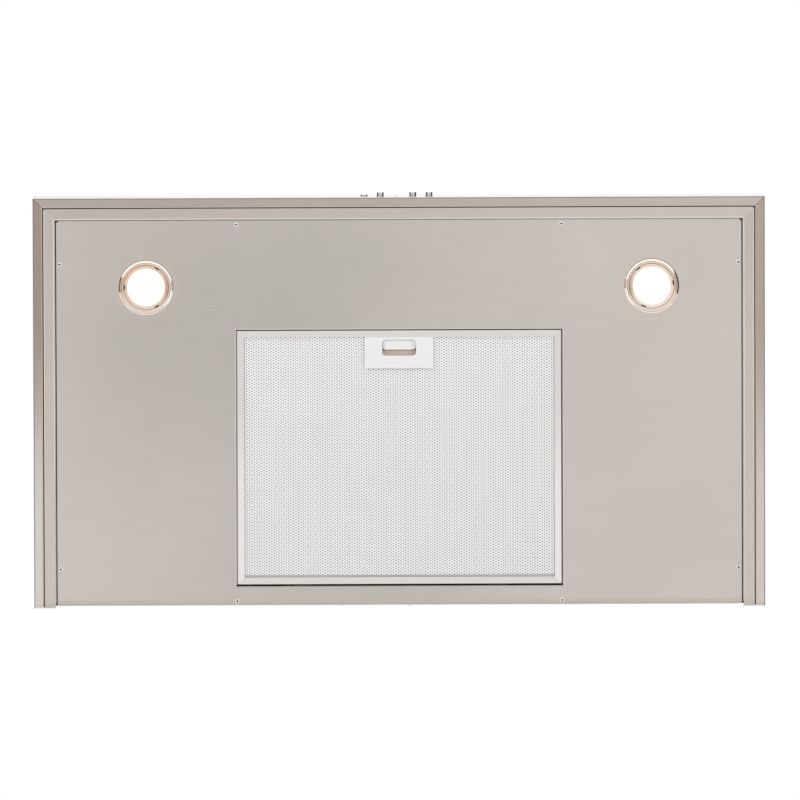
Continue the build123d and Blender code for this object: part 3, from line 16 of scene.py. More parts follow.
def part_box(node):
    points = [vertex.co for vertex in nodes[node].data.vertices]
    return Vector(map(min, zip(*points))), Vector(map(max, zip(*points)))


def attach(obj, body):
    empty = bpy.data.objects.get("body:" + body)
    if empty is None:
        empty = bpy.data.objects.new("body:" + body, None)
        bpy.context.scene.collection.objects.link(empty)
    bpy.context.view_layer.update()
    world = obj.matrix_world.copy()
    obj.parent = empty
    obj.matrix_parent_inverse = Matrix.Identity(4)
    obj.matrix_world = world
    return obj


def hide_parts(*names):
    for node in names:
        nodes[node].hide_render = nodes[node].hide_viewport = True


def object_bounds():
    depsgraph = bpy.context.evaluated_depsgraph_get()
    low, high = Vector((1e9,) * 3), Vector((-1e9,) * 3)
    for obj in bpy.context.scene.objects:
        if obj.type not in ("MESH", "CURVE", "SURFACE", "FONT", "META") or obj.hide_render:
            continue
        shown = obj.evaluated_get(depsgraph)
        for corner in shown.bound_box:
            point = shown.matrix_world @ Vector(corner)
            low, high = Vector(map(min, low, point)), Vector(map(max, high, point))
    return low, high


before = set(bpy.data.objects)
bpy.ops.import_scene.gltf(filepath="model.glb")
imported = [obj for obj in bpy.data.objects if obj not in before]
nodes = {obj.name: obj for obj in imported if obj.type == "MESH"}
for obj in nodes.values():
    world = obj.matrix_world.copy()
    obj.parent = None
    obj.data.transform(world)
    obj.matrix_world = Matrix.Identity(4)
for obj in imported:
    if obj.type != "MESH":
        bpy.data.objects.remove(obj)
cad_low, cad_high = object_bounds()
print("the hood is", [round(high - low, 3) for low, high in zip(cad_low, cad_high)], "m wide, deep and tall")

# %% [markdown]
# ## The camera
#
# The photographer stood far below the hood and a little in front of it, so the front skirt just shows
# as a thin strip along the upper edge of the picture. A long lens from far away keeps the edges nearly
# parallel. The camera turns about a point on the underside: first level it would look straight up with
# the hood's front at the top of the picture, then it is tilted, turned and rolled by small angles.

# %% Place the camera
underside_z = cad_low.z
aim = Vector((0.0009, -0.2554, underside_z))
camera_distance = 20.0
camera_tilt = math.radians(-4.0)
camera_turn = math.radians(0.5)
camera_roll = math.radians(0.179)
picture_width_at_aim = 0.8 / 0.81294

camera_data = bpy.data.cameras.new("camera")
camera = bpy.data.objects.new("camera", camera_data)
bpy.context.scene.collection.objects.link(camera)
camera.rotation_mode = "ZXY"
camera.rotation_euler = Euler((math.pi + camera_tilt, camera_turn, -camera_roll), "ZXY")
backwards = camera.rotation_euler.to_matrix() @ Vector((0, 0, 1))
camera.location = aim + backwards * camera_distance
camera_data.sensor_width = 36.0
camera_data.lens = camera_data.sensor_width * camera_distance / picture_width_at_aim
bpy.context.scene.camera = camera
print("camera at", [round(value, 3) for value in camera.location], "lens", round(camera_data.lens, 1), "mm")

# %% [markdown]
# ## The studio
#
# A pale floor lies 0.65 m below the hood, where the cooker would be. It is solid when seen from above
# and lets the camera look through when seen from underneath, as if the photographer worked in a pit.
# The world is white behind the object, and large soft lamps stand round it. Steel shows what it
# mirrors, so cloths and screens stand and lie round the hood, seen only in reflections: dark ones low
# at the left and right give the chrome rims of the lamps their dark sides, beige ones behind make the
# rims' rear half as warm as the panel, and grey ones higher up give the brushed sheets some contrast.

# %% Helpers for nodes, colours and pieces
def linear(code, factor=1.0):
    """Linear colour of an sRGB hex value, made darker or lighter by a factor."""
    parts = [int(code[place:place + 2], 16) / 255 for place in (0, 2, 4)]
    parts = [part / 12.92 if part <= 0.04045 else ((part + 0.055) / 1.055) ** 2.4 for part in parts]
    return [min(part * factor, 1.0) for part in parts] + [1.0]


def add_node(tree, kind, inputs=None, output=0, **settings):
    """Add one node. An input given as a socket is linked, one given as a hex code is made linear, and
    any other is set. Gives back one output."""
    node = tree.nodes.new(kind)
    for name, value in settings.items():
        setattr(node, name, value)
    for name, value in (inputs or {}).items():
        if isinstance(value, bpy.types.NodeSocket):
            tree.links.new(value, node.inputs[name])
        else:
            node.inputs[name].default_value = linear(value) if isinstance(value, str) else value
    return node.outputs[output] if node.outputs else node


def laid_over(tree, shade, colour, mask, *masks):
    """Lay a colour over a shade, as far as all the masks let it."""
    for other in masks:
        mask = add_node(tree, "ShaderNodeMath", {0: mask, 1: other}, operation="MULTIPLY")
    return add_node(tree, "ShaderNodeMix", {0: mask, 6: shade, 7: colour}, 2, data_type="RGBA")


def faded(tree, shade, colour, value, low, high, shares=(0.0, 1.0)):
    """Blend a shade smoothly into a colour while a value runs from low to high."""
    limits = {"Value": value, "From Min": low, "From Max": high, "To Min": shares[0], "To Max": shares[1]}
    share = add_node(tree, "ShaderNodeMapRange", limits, interpolation_type="SMOOTHSTEP")
    return laid_over(tree, shade, colour, share)


def dimmed(tree, shade, value, low, high, levels):
    """Multiply a shade by a level that changes smoothly while a value runs from low to high."""
    limits = {"Value": value, "From Min": low, "From Max": high, "To Min": levels[0], "To Max": levels[1]}
    level = add_node(tree, "ShaderNodeMapRange", limits, interpolation_type="SMOOTHSTEP")
    even = add_node(tree, "ShaderNodeCombineXYZ", {0: level, 1: level, 2: level})
    both = {0: 1.0, 6: shade, 7: even}
    return add_node(tree, "ShaderNodeMix", both, 2, data_type="RGBA", blend_type="MULTIPLY")


def new_material(name):
    """Empty node material and its tree."""
    material = bpy.data.materials.new(name)
    material.use_nodes = True
    material.node_tree.nodes.clear()
    return material, material.node_tree


def give_look(tree, look):
    """Give a material's tree a surface with this look."""
    surface = add_node(tree, "ShaderNodeBsdfPrincipled", look)
    add_node(tree, "ShaderNodeOutputMaterial", {"Surface": surface})


def select_only(*pieces):
    """Select these pieces and nothing else, and make the last one active for the next operator."""
    bpy.ops.object.select_all(action="DESELECT")
    for piece in pieces:
        piece.select_set(True)
        bpy.context.view_layer.objects.active = piece

# %% World and floor
scene = bpy.context.scene
scene.view_settings.view_transform = "Standard"
world = bpy.data.worlds.new("white_studio")
world.use_nodes = True
world.node_tree.nodes.clear()
scene.world = world
background = add_node(world.node_tree, "ShaderNodeBackground", {"Color": "ffffff", "Strength": 1.0})
add_node(world.node_tree, "ShaderNodeOutputWorld", {"Surface": background})

floor_drop = 0.65
lamp_row_y = -0.395
floor_z = underside_z - floor_drop
select_only()
bpy.ops.mesh.primitive_plane_add(size=40, location=(0, 0, floor_z))
floor = bpy.context.object
floor.name = "floor"
floor.visible_shadow = False
floor_paint, tree = new_material("matt_white_paint")
paint = add_node(tree, "ShaderNodeBsdfDiffuse", {"Color": "f5f5f5"})
clear = add_node(tree, "ShaderNodeBsdfTransparent")
from_below = add_node(tree, "ShaderNodeNewGeometry", output="Backfacing")
one_sided = add_node(tree, "ShaderNodeMixShader", {0: from_below, 1: paint, 2: clear})
add_node(tree, "ShaderNodeOutputMaterial", {"Surface": one_sided})
floor.data.materials.append(floor_paint)
print("floor", floor_drop, "m below the hood")

# %% Screens, seen only in reflections
def add_screen(name, colour, place, size, turn=(0, 0, 0)):
    """Stretched cloth, which only polished and brushed metal shows."""
    cloth, tree = new_material(name + "_cloth")
    glow = add_node(tree, "ShaderNodeEmission", {"Color": colour, "Strength": 1.0})
    add_node(tree, "ShaderNodeOutputMaterial", {"Surface": glow})
    select_only()
    bpy.ops.mesh.primitive_plane_add(size=1, location=place, rotation=turn)
    screen = bpy.context.object
    screen.name = name
    screen.scale = (*size, 1)
    screen.visible_camera = False
    screen.visible_diffuse = False
    screen.visible_transmission = False
    screen.visible_shadow = False
    screen.data.materials.append(cloth)
    print(name, "is", size[0], "by", size[1], "m")


upright = (0, math.pi / 2, 0)
above_floor = floor_z + 0.01
screen_x = 1.25
screen_z = underside_z - 0.36
add_screen("screen_left", "7d7269", (-screen_x, lamp_row_y - 0.05, screen_z), (0.56, 0.58), upright)
add_screen("screen_right", "5a514a", (screen_x, lamp_row_y - 0.12, screen_z), (0.56, 0.95), upright)
add_screen("cloth_rear", "d0c3b9", (0, 0.72, above_floor), (2.2, 0.45))
add_screen("screen_above", "c8c8c8", (0, 1.4, 3.2), (5.0, 3.6))
side_shades = (("left", -1, "cdaaa0", "dddddc"), ("right", 1, "baa699", "b9b7b5"))
for name, sign, inner_shade, wall_shade in side_shades:
    add_screen(f"cloth_inner_{name}", inner_shade, (sign * 0.84, lamp_row_y, above_floor), (0.44, 0.4))
    add_screen(f"cloth_side_{name}", "d0c3b9", (sign * screen_x, 0.2, above_floor), (0.6, 0.6))
    add_screen(f"wall_{name}", wall_shade, (sign * 2.6, 0.9, 0.35), (1.9, 3.4), upright)

# %% Soft lamps
studio_lamps = {
    "lamp_front": {"place": (-1.2, -3.0, 1.6), "size": 2.6, "power": 18},
    "lamp_right": {"place": (3.0, -0.8, 1.2), "size": 2.0, "power": 14},
    "lamp_left": {"place": (-3.2, 0.4, 1.2), "size": 2.0, "power": 9},
    "lamp_top": {"place": (0.2, -0.2, 3.0), "size": 2.4, "power": 12},
    "lamp_back": {"place": (0.6, 3.0, 1.4), "size": 2.0, "power": 10},
}
for name, lamp in studio_lamps.items():
    light = bpy.data.lights.new(name, "AREA")
    light.shape = "DISK"
    light.size = lamp["size"]
    light.energy = lamp["power"]
    holder = bpy.data.objects.new(name, light)
    scene.collection.objects.link(holder)
    holder.location = lamp["place"]
    holder.visible_glossy = name == "lamp_top"
    holder.rotation_euler = (Vector((0, -0.25, 0)) - holder.location).to_track_quat("-Z", "Y").to_euler()
print(len(studio_lamps), "soft lamps")

# %% [markdown]
# ## Brushed stainless steel
#
# The canopy, rim, panel and chimney are 304 stainless sheet, ground with a grit 180 to 240 belt. The
# belt leaves hair-fine lines that run along each strip, a soft grey-beige sheen and highlights that
# spread across the lines. Real lines are about 0.05 mm wide; here they are 0.7 mm, so that they show.
# The lines come from noise that is stretched along the grain. Steel is a metal, so its colour tints
# the reflection, and its IOR stays as it is.

# %% Brushed steel
canopy_low, canopy_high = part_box("canopy_shell")
hood_half = canopy_high.x
hood_depth = -canopy_low.y
flange_width = 10.8e-3
rim_width = 13.8e-3
grain_width = 0.7e-3
streak_width = 3.0e-3
grain_length = 90e-3
grain_across = {"X": (0.0, 1.0, 1.0), "Y": (1.0, 0.0, 1.0), "Z": (1.0, 1.0, 0.0)}
cloud_size = 0.2
roughness_swing = 0.06
bump_height = 0.1e-3


def grain(tree, place, axis, width):
    """Hair lines that run along one axis, as a value from 0 to 1, and the direction across them."""
    scale = [1 / width] * 3
    scale["XYZ".index(axis)] = 1 / grain_length
    stretched = add_node(tree, "ShaderNodeMapping", {"Vector": place, "Scale": scale})
    lines = add_node(tree, "ShaderNodeTexNoise", {"Vector": stretched, "Scale": 1.0, "Detail": 3.0})
    return lines, add_node(tree, "ShaderNodeCombineXYZ", dict(enumerate(grain_across[axis])))


def brushed_steel(
    name, colour, axis, roughness, side_axis=None, marks=None, width=grain_width, contrast=0.06
):
    """Ground stainless sheet. With a side axis, the side faces and the side strips turn their grain."""
    material, tree = new_material(name)
    place = add_node(tree, "ShaderNodeTexCoord", output="Object")
    lines, across = grain(tree, place, axis, width)
    if side_axis:
        on_side = side_faces(tree, place)
        side_lines, side_across = grain(tree, place, side_axis, width)
        lines = add_node(tree, "ShaderNodeMix", {0: on_side, 2: lines, 3: side_lines})
        directions = {0: on_side, 4: across, 5: side_across}
        across = add_node(tree, "ShaderNodeMix", directions, 1, data_type="VECTOR")
    clouds = add_node(tree, "ShaderNodeTexNoise", {"Vector": place, "Scale": 1 / cloud_size, "Detail": 2.0})
    mottled = add_node(tree, "ShaderNodeMath", {0: lines, 1: clouds}, operation="ADD")
    tint = add_node(tree, "ShaderNodeMapRange", {"Value": mottled, "From Min": 0.6, "From Max": 1.4})
    shade = laid_over(tree, linear(colour, 1 - contrast), linear(colour, 1 + contrast), tint)
    if marks:
        shade = marks(tree, place, shade)
    limits = {"Value": lines, "To Min": roughness - roughness_swing, "To Max": roughness + roughness_swing}
    rough = add_node(tree, "ShaderNodeMapRange", limits)
    bump = add_node(tree, "ShaderNodeBump", {"Height": lines, "Strength": 0.08, "Distance": bump_height})
    look = {"Base Color": shade, "Metallic": 1.0, "Roughness": rough, "Anisotropic": 0.5}
    give_look(tree, {**look, "Tangent": across, "Normal": bump})
    return material

# %% Find faces, seams and edges of the sheets
def facing_down(tree):
    """1 on faces that look down, 0 elsewhere."""
    normal = add_node(tree, "ShaderNodeTexCoord", output="Normal")
    upward = add_node(tree, "ShaderNodeSeparateXYZ", {0: normal}, 2)
    return add_node(tree, "ShaderNodeMath", {0: upward, 1: -0.9}, operation="LESS_THAN")


def beyond_edge(tree, place, half_width, half_depth, middle_y=0.0):
    """How far a spot lies beyond the sides, beyond the front, and beyond any edge of a rectangle."""
    spot = add_node(tree, "ShaderNodeSeparateXYZ", {0: place}).node.outputs
    out = add_node(tree, "ShaderNodeMath", {0: spot[0]}, operation="ABSOLUTE")
    beside = add_node(tree, "ShaderNodeMath", {0: out, 1: half_width}, operation="SUBTRACT")
    forth = add_node(tree, "ShaderNodeMath", {0: spot[1], 1: middle_y}, operation="SUBTRACT")
    forth = add_node(tree, "ShaderNodeMath", {0: forth}, operation="ABSOLUTE")
    before = add_node(tree, "ShaderNodeMath", {0: forth, 1: half_depth}, operation="SUBTRACT")
    return beside, before, add_node(tree, "ShaderNodeMath", {0: beside, 1: before}, operation="MAXIMUM")


def side_faces(tree, place):
    """1 on faces that look left or right, and on the side strips of the underside up to the mitre seams."""
    normal = add_node(tree, "ShaderNodeTexCoord", output="Normal")
    sideways = add_node(tree, "ShaderNodeSeparateXYZ", {0: normal})
    sideways = add_node(tree, "ShaderNodeMath", {0: sideways}, operation="ABSOLUTE")
    sideways = add_node(tree, "ShaderNodeMath", {0: sideways, 1: 0.3}, operation="GREATER_THAN")
    beside, before, _ = beyond_edge(tree, place, hood_half, hood_depth)
    past_mitre = add_node(tree, "ShaderNodeMath", {0: beside, 1: before}, operation="GREATER_THAN")
    strip = add_node(tree, "ShaderNodeMath", {0: facing_down(tree), 1: past_mitre}, operation="MULTIPLY")
    return add_node(tree, "ShaderNodeMath", {0: sideways, 1: strip}, operation="MAXIMUM")


def edge_line(tree, place, shade, rectangle, low, high, colour):
    """Draw a line along the edges of a rectangle, between two distances beyond it."""
    beyond = beyond_edge(tree, place, *rectangle)[2]
    middle, half = (low + high) / 2, (high - low) / 2
    line = add_node(tree, "ShaderNodeMath", {0: beyond, 1: middle, 2: half}, operation="COMPARE")
    return laid_over(tree, shade, colour, line, facing_down(tree))


def mitre_line(tree, place, shade, rectangle, strip, half, colour):
    """Draw the mitre seams at the corners of a rectangular frame of strips."""
    beside, before, beyond = beyond_edge(tree, place, *rectangle)
    line = add_node(tree, "ShaderNodeMath", {0: beside, 1: before, 2: half}, operation="COMPARE")
    inside = add_node(tree, "ShaderNodeMath", {0: beyond, 1: -strip / 2, 2: strip / 2}, operation="COMPARE")
    return laid_over(tree, shade, colour, line, inside, facing_down(tree))

# %% The underside strips and the panel
hood_outline = (hood_half, hood_depth)
flange_inner = (hood_half - flange_width, hood_depth - flange_width)
rim_gap = 2.0e-3
rim_outer = (flange_inner[0] - rim_gap, flange_inner[1] - rim_gap)
rim_inner = (rim_outer[0] - rim_width, rim_outer[1] - rim_width)
hem_width = 0.8e-3
edge_width = 1.3e-3
past_edge = 0.1e-3
panel_low, panel_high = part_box("underside_panel")
opening = (201e-3, 158.2e-3, -184.2e-3)
lamp_low, lamp_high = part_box("lamp_right_lens")
lamp_x = (lamp_low.x + lamp_high.x) / 2
lamp_y = (lamp_low.y + lamp_high.y) / 2
lens_radius = (lamp_high.x - lamp_low.x) / 2
print("lamps at x", round(lamp_x, 4), "y", round(lamp_y, 4), "lens radius", round(lens_radius, 4))


def flange_marks(tree, place, shade):
    """Painted shade: a darker flange, lighter to the right, its sides lighter towards the wall, where a seam
    crosses them.
    """
    spot = add_node(tree, "ShaderNodeSeparateXYZ", {0: place}).node.outputs
    to_right = (spot[0], -0.35, 0.40)
    to_wall = (spot[1], -0.36, -0.12)
    front_end = faded(tree, "a4978e", "b2a69c", *to_right)
    wall_end = faded(tree, "d3cdc7", "cdc4bc", *to_right)
    sides = faded(tree, front_end, wall_end, *to_wall)
    strips = laid_over(tree, faded(tree, "b0a89f", "bfb6ae", *to_right), sides, side_faces(tree, place))
    seam = add_node(tree, "ShaderNodeMath", {0: spot[1], 1: -3.2e-3, 2: 0.5e-3}, operation="COMPARE")
    strips = laid_over(tree, strips, faded(tree, "c4bbb2", "aea295", *to_right), seam)
    shade = laid_over(tree, shade, strips, facing_down(tree))
    # Painted highlight on the hem, and painted shade along the outer edge; the mitre seams are dark joints.
    shade = edge_line(tree, place, shade, flange_inner, -hem_width, 0.0, "cdc5bb")
    shade = edge_line(tree, place, shade, hood_outline, -edge_width, past_edge, "85827b")
    return mitre_line(tree, place, shade, hood_outline, flange_width, 0.6e-3, "857b72")


def rim_marks(tree, place, shade):
    """Painted highlights along both edges, a bright seam, painted shade on the front strip's left and at the
    wall end.
    """
    spot = add_node(tree, "ShaderNodeSeparateXYZ", {0: place}).node.outputs
    to_wall = (spot[1], -0.33, -0.08)
    on_side = side_faces(tree, place)
    front = dimmed(tree, shade, spot[0], -0.40, 0.35, (0.84, 0.97))
    side = dimmed(tree, shade, spot[1], -0.46, -0.36, (0.93, 0.97))
    shade = laid_over(tree, front, side, on_side)
    # Painted highlights along the outer and inner edges, fading towards the wall.
    outer = laid_over(tree, shade, faded(tree, "ece4dc", "d0c9c2", *to_wall), on_side)
    shade = edge_line(tree, place, shade, rim_outer, -edge_width, past_edge, outer)
    inner = laid_over(tree, "e8e0d7", faded(tree, "f3ece5", "d3ccc5", *to_wall), on_side)
    shade = edge_line(tree, place, shade, rim_inner, 0.0, edge_width, inner)
    # Painted shade at the wall end.
    shade = faded(tree, shade, "b9b4a9", spot[1], -11e-3, -4e-3, (0.0, 0.6))
    return mitre_line(tree, place, shade, rim_outer, rim_width, 0.5e-3, "d2ccc5")


def panel_marks(tree, place, shade):
    """Painted shade at the front left and at the wall, a painted warm glow round the lamps, a painted
    highlight along the opening.
    """
    spot = add_node(tree, "ShaderNodeSeparateXYZ", {0: place}).node.outputs
    # Painted shade: two soft dark patches.
    for x, y, reach, level in ((-0.19, -0.40, 0.44, 0.86), (-0.06, 0.03, 0.30, 0.90)):
        ends = {0: place, 1: (x, y, panel_low.z)}
        away = add_node(tree, "ShaderNodeVectorMath", ends, "Value", operation="DISTANCE")
        shade = dimmed(tree, shade, away, 0.0, reach, (level, 1.0))
    # Painted warm glow of each lamp on the panel round it.
    for x in (-lamp_x, lamp_x):
        ends = {0: place, 1: (x, lamp_y, panel_low.z)}
        away = add_node(tree, "ShaderNodeVectorMath", ends, "Value", operation="DISTANCE")
        shade = faded(tree, shade, "d2bfb4", away, 33e-3, 44e-3, (0.3, 0.0))
    # Painted shade along the wall edge.
    shade = faded(tree, shade, "c0baaf", spot[1], panel_high.y - 10.0e-3, panel_high.y - 3.5e-3)
    # Painted highlight along the opening, with painted shade at its wall end.
    painted_opening_edge = faded(tree, "d8d1ca", "b0aaa5", spot[1], -27e-3, -26e-3)
    return edge_line(tree, place, shade, opening, 0.0, 1.1e-3, painted_opening_edge)


streaks = {"width": streak_width, "contrast": 0.12}
canopy_steel = brushed_steel("brushed_steel_canopy", "c6c1bc", "X", 0.3, "Y", flange_marks, **streaks)
rim_steel = brushed_steel("brushed_steel_rim", "cbc3bc", "X", 0.32, "Y", rim_marks)
panel_steel = brushed_steel("brushed_steel_panel", "c9c3be", "X", 0.38, marks=panel_marks)
chimney_steel = brushed_steel("brushed_steel_chimney", "c3bdb7", "Z", 0.3, **streaks)
print("brushed steel for the canopy, the rim, the panel and the chimney")

# %% [markdown]
# ## Plain metals
#
# Other metal parts need the same few things: a base colour, a roughness and a fine surface pattern.
# Mill aluminium is pale and soft, chrome is a near perfect mirror, and zinc-dipped steel shows the
# flat crystals of its coat, called spangle, 5 to 15 mm across.

# %% Plain metals
def speckled(name, colour, roughness, size, detail, contrast, swing, depth, marks, look):
    """Material with a fine cloudy pattern in its colour, its roughness and its surface."""
    material, tree = new_material(name)
    place = add_node(tree, "ShaderNodeTexCoord", output="Object")
    specks = add_node(tree, "ShaderNodeTexNoise", {"Vector": place, "Scale": 1 / size, "Detail": detail})
    shade = laid_over(tree, linear(colour, 1 - contrast), colour, specks)
    if marks:
        shade = marks(tree, place, shade)
    limits = {"Value": specks, "To Min": roughness * swing[0], "To Max": roughness * swing[1]}
    rough = add_node(tree, "ShaderNodeMapRange", limits)
    bump = add_node(tree, "ShaderNodeBump", {"Height": specks, "Strength": depth, "Distance": bump_height})
    give_look(tree, {"Base Color": shade, "Roughness": rough, "Normal": bump, **look})
    return material


def metal(name, colour, roughness, size, depth=0.05, contrast=0.06, marks=None):
    """Metal with clouds of the given size."""
    look = {"Metallic": 1.0}
    return speckled(name, colour, roughness, size, 4.0, contrast, (0.8, 1.2), depth, marks, look)

# %% Marks on the filter and on the lamps
def frame_marks(tree, place, shade):
    """Painted shade: front and rear strips a little darker than the sides, which are painted lighter towards
    the wall.
    """
    spot = add_node(tree, "ShaderNodeSeparateXYZ", {0: place}).node.outputs
    beside, before, _ = beyond_edge(tree, place, *opening)
    on_side = add_node(tree, "ShaderNodeMath", {0: beside, 1: before}, operation="GREATER_THAN")
    side = dimmed(tree, shade, spot[1], -0.27, -0.14, (0.92, 1.06))
    front = laid_over(tree, shade, "000000", 0.06)
    return laid_over(tree, front, side, on_side)


def mesh_marks(tree, place, shade):
    """Painted light: brighter at the front, with a painted soft shadow of the frame at its sides and at its
    wall edge.
    """
    spot = add_node(tree, "ShaderNodeSeparateXYZ", {0: place}).node.outputs
    shade = dimmed(tree, shade, spot[1], -0.33, -0.16, (1.0, 0.985))
    shade = dimmed(tree, shade, spot[1], -40.3e-3, -39.2e-3, (1.0, 0.62))
    aside = add_node(tree, "ShaderNodeMath", {0: spot[0]}, operation="ABSOLUTE")
    return dimmed(tree, shade, aside, 188e-3, 190e-3, (1.0, 0.88))


def lamp_distance(tree, place):
    """How far a spot lies from the middle of its lamp, and its three coordinates."""
    spot = add_node(tree, "ShaderNodeSeparateXYZ", {0: place}).node.outputs
    folded = add_node(tree, "ShaderNodeMath", {0: spot[0]}, operation="ABSOLUTE")
    flat = add_node(tree, "ShaderNodeCombineXYZ", {0: folded, 1: spot[1], 2: 0.0})
    ends = {0: flat, 1: (lamp_x, lamp_y, 0)}
    return add_node(tree, "ShaderNodeVectorMath", ends, "Value", operation="DISTANCE"), spot


def ring_marks(tree, place, shade):
    """Painted shade in a darker tan line where the cone meets the rim, a painted paler rear half and a paler
    right ring.
    """
    away, spot = lamp_distance(tree, place)
    shade = faded(tree, shade, "d9c8b9", spot[1], lamp_y, lamp_y + 25e-3)
    shade = faded(tree, shade, "f6ebe3", spot[0], -0.1, 0.1, (0.0, 0.5))
    line = add_node(tree, "ShaderNodeMath", {0: away, 1: 27.6e-3, 2: 0.6e-3}, operation="COMPARE")
    return laid_over(tree, shade, "b09785", line)


def rim_ring_marks(tree, place, shade):
    """Painted reflection of the lit cone on the lip, and a painted contact shadow where the front half meets
    the panel.
    """
    away, spot = lamp_distance(tree, place)
    # Painted reflection of the lit cone on the inner lip.
    lip = faded(tree, "dacabb", "eadccf", spot[1], lamp_y - 5e-3, lamp_y + 15e-3)
    shade = faded(tree, lip, shade, away, 30.5e-3, 31.2e-3)
    # Painted dark line at the lip's inner edge.
    inner_edge = add_node(tree, "ShaderNodeMath", {0: away, 1: 30.0e-3, 2: 0.35e-3}, operation="COMPARE")
    shade = laid_over(tree, shade, "c3b0a0", inner_edge)
    contact_shadow = faded(tree, shade, "5f564f", spot[1], lamp_y - 15e-3, lamp_y - 5e-3, (0.9, 0.0))
    contact = add_node(tree, "ShaderNodeMath", {0: away, 1: 33.0e-3}, operation="GREATER_THAN")
    return laid_over(tree, shade, contact_shadow, contact)

# %% The plain metals of this hood
# Rolled aluminium has a soft white sheen; the layers inside are painted greyer, as painted shade inside the
# filter.
frame_aluminium = metal("mill_aluminium", "e7e4e2", 0.42, 1.5e-3, marks=frame_marks)
mesh_aluminium = metal("expanded_aluminium", "ffffff", 0.38, 1.0e-3, contrast=0.02, marks=mesh_marks)
layer_aluminium = metal("inner_layers_aluminium", "c2c1be", 0.5, 1.0e-3)
# Anodising leaves an even, pale and nearly matt skin.
handle_aluminium = metal("anodised_aluminium", "f2f2f1", 0.5, 0.8e-3, contrast=0.02)
# Blueing and stoving give steel a dark coat that still shines a little.
blued_steel = metal("blued_spring_steel", "3a3936", 0.35, 1.0e-3)
housing_metal = metal("stoved_steel", "4a4641", 0.5, 1.0e-3)
# The warm light of the lamp that it surrounds is painted into this satin aluminium's colour.
cone_metal = metal("satin_aluminium_warm", "e8cbb7", 0.35, 1.0e-3, marks=ring_marks)
# Chrome plating is nearly a mirror, so it shows the dark and the beige cloths; its lip and its contact line
# are painted.
chrome = metal("chrome_plating", "f6f0e6", 0.06, 3e-3, 0.0, 0.02, rim_ring_marks)
# Zinc plating gives small screws a bright, slightly cloudy shine.
screw_steel = metal("zinc_plated_screw", "f2f2f0", 0.28, 0.6e-3)


def painted_dark_flanks(tree, place, shade):
    """Paint dark reflections on the left and right flanks of a round rod, and a painted soft dark line along
    its underside.
    """
    normal = add_node(tree, "ShaderNodeTexCoord", output="Normal")
    facing = add_node(tree, "ShaderNodeSeparateXYZ", {0: normal}).node.outputs
    sideways = add_node(tree, "ShaderNodeMath", {0: facing[0]}, operation="ABSOLUTE")
    shade = faded(tree, shade, "524e4a", sideways, 0.45, 0.75)
    line = faded(tree, shade, "6f6a66", sideways, 0.05, 0.25, (0.6, 0.0))
    down = add_node(tree, "ShaderNodeMath", {0: facing[2], 1: -0.5}, operation="LESS_THAN")
    return laid_over(tree, shade, line, down)


# This chrome is a little darker and softer than the lamp rims, and its flanks carry painted dark
# reflections.
button_chrome = metal("chrome_with_painted_flanks", "e6e4e2", 0.12, 3e-3, 0.0, 0.02, painted_dark_flanks)


def galvanised(name, colour, spangle):
    """Zinc coat whose flat crystals each have their own shade."""
    material, tree = new_material(name)
    place = add_node(tree, "ShaderNodeTexCoord", output="Object")
    crystals = add_node(tree, "ShaderNodeTexVoronoi", {"Vector": place, "Scale": 1 / spangle}, "Color")
    grey = add_node(tree, "ShaderNodeSeparateColor", {0: crystals})
    shade = laid_over(tree, linear(colour, 0.8), colour, grey)
    rough = add_node(tree, "ShaderNodeMapRange", {"Value": grey, "To Min": 0.35, "To Max": 0.55})
    give_look(tree, {"Base Color": shade, "Metallic": 1.0, "Roughness": rough})
    return material


# Hot-dipped zinc looks like a patchwork of flat grey crystals.
zinc = galvanised("galvanised_steel", "b9bcbe", 9e-3)
print(len(bpy.data.materials), "materials with the plain metals")

# %% [markdown]
# ## Plastics, paint and ceramic
#
# Moulded ABS and polyamide have a fine spark-eroded grain of about 0.3 mm and a dull sheen. Stove
# enamel on the motor is a little glossier, and the lamp sockets are unglazed steatite.

# %% Plastics, paint and ceramic
def moulded(name, colour, roughness, size, depth=0.15, ior=1.5, marks=None):
    """Non-metal with a surface grain of the given size."""
    return speckled(name, colour, roughness, size, 3.0, 0.1, (0.85, 1.1), depth, marks, {"IOR": ior})


def pad_marks(tree, place, shade):
    """Grey soft shading at the pad's left and right ends and along its front edge."""
    spot = add_node(tree, "ShaderNodeSeparateXYZ", {0: place}).node.outputs
    shade = dimmed(tree, shade, spot[0], -20.0e-3, -15.5e-3, (0.74, 1.0))
    shade = dimmed(tree, shade, spot[0], 12.5e-3, 17.5e-3, (1.0, 0.86))
    return dimmed(tree, shade, spot[1], -328.5e-3, -327.5e-3, (0.7, 1.0))


# Polyamide is black and dull. ABS is off-white and its grain softens each highlight; the guide's colour
# holds painted shade, and the tray's paler, warmer colour is painted light.
black_plastic = moulded("black_polyamide", "1c1c1d", 0.5, 0.3e-3)
pale_plastic = moulded("pale_abs", "e9e8e5", 0.45, 0.3e-3)
pad_plastic = moulded("pale_abs_pad", "eeede9", 0.45, 0.3e-3, marks=pad_marks)
guide_plastic = moulded("shaded_abs_guide", "958b81", 0.6, 0.3e-3)
tray_plastic = moulded("tray_abs", "eedfd0", 0.5, 0.3e-3)
# Stove enamel flows smooth and shines a little, while unglazed steatite is as dull as chalk.
motor_enamel = moulded("stove_enamel", "34373b", 0.35, 0.8e-3)
ceramic = moulded("steatite_ceramic", "e8e3d8", 0.7, 0.5e-3)
# The capacitor's smooth case and the unlit pilot lens show sharper highlights.
can_plastic = moulded("capacitor_case", "d5d5d0", 0.3, 1.0e-3, 0.05)
pilot_lens = moulded("clear_polycarbonate_lens", "b8bcbc", 0.15, 2.0e-3, 0.0, 1.58)
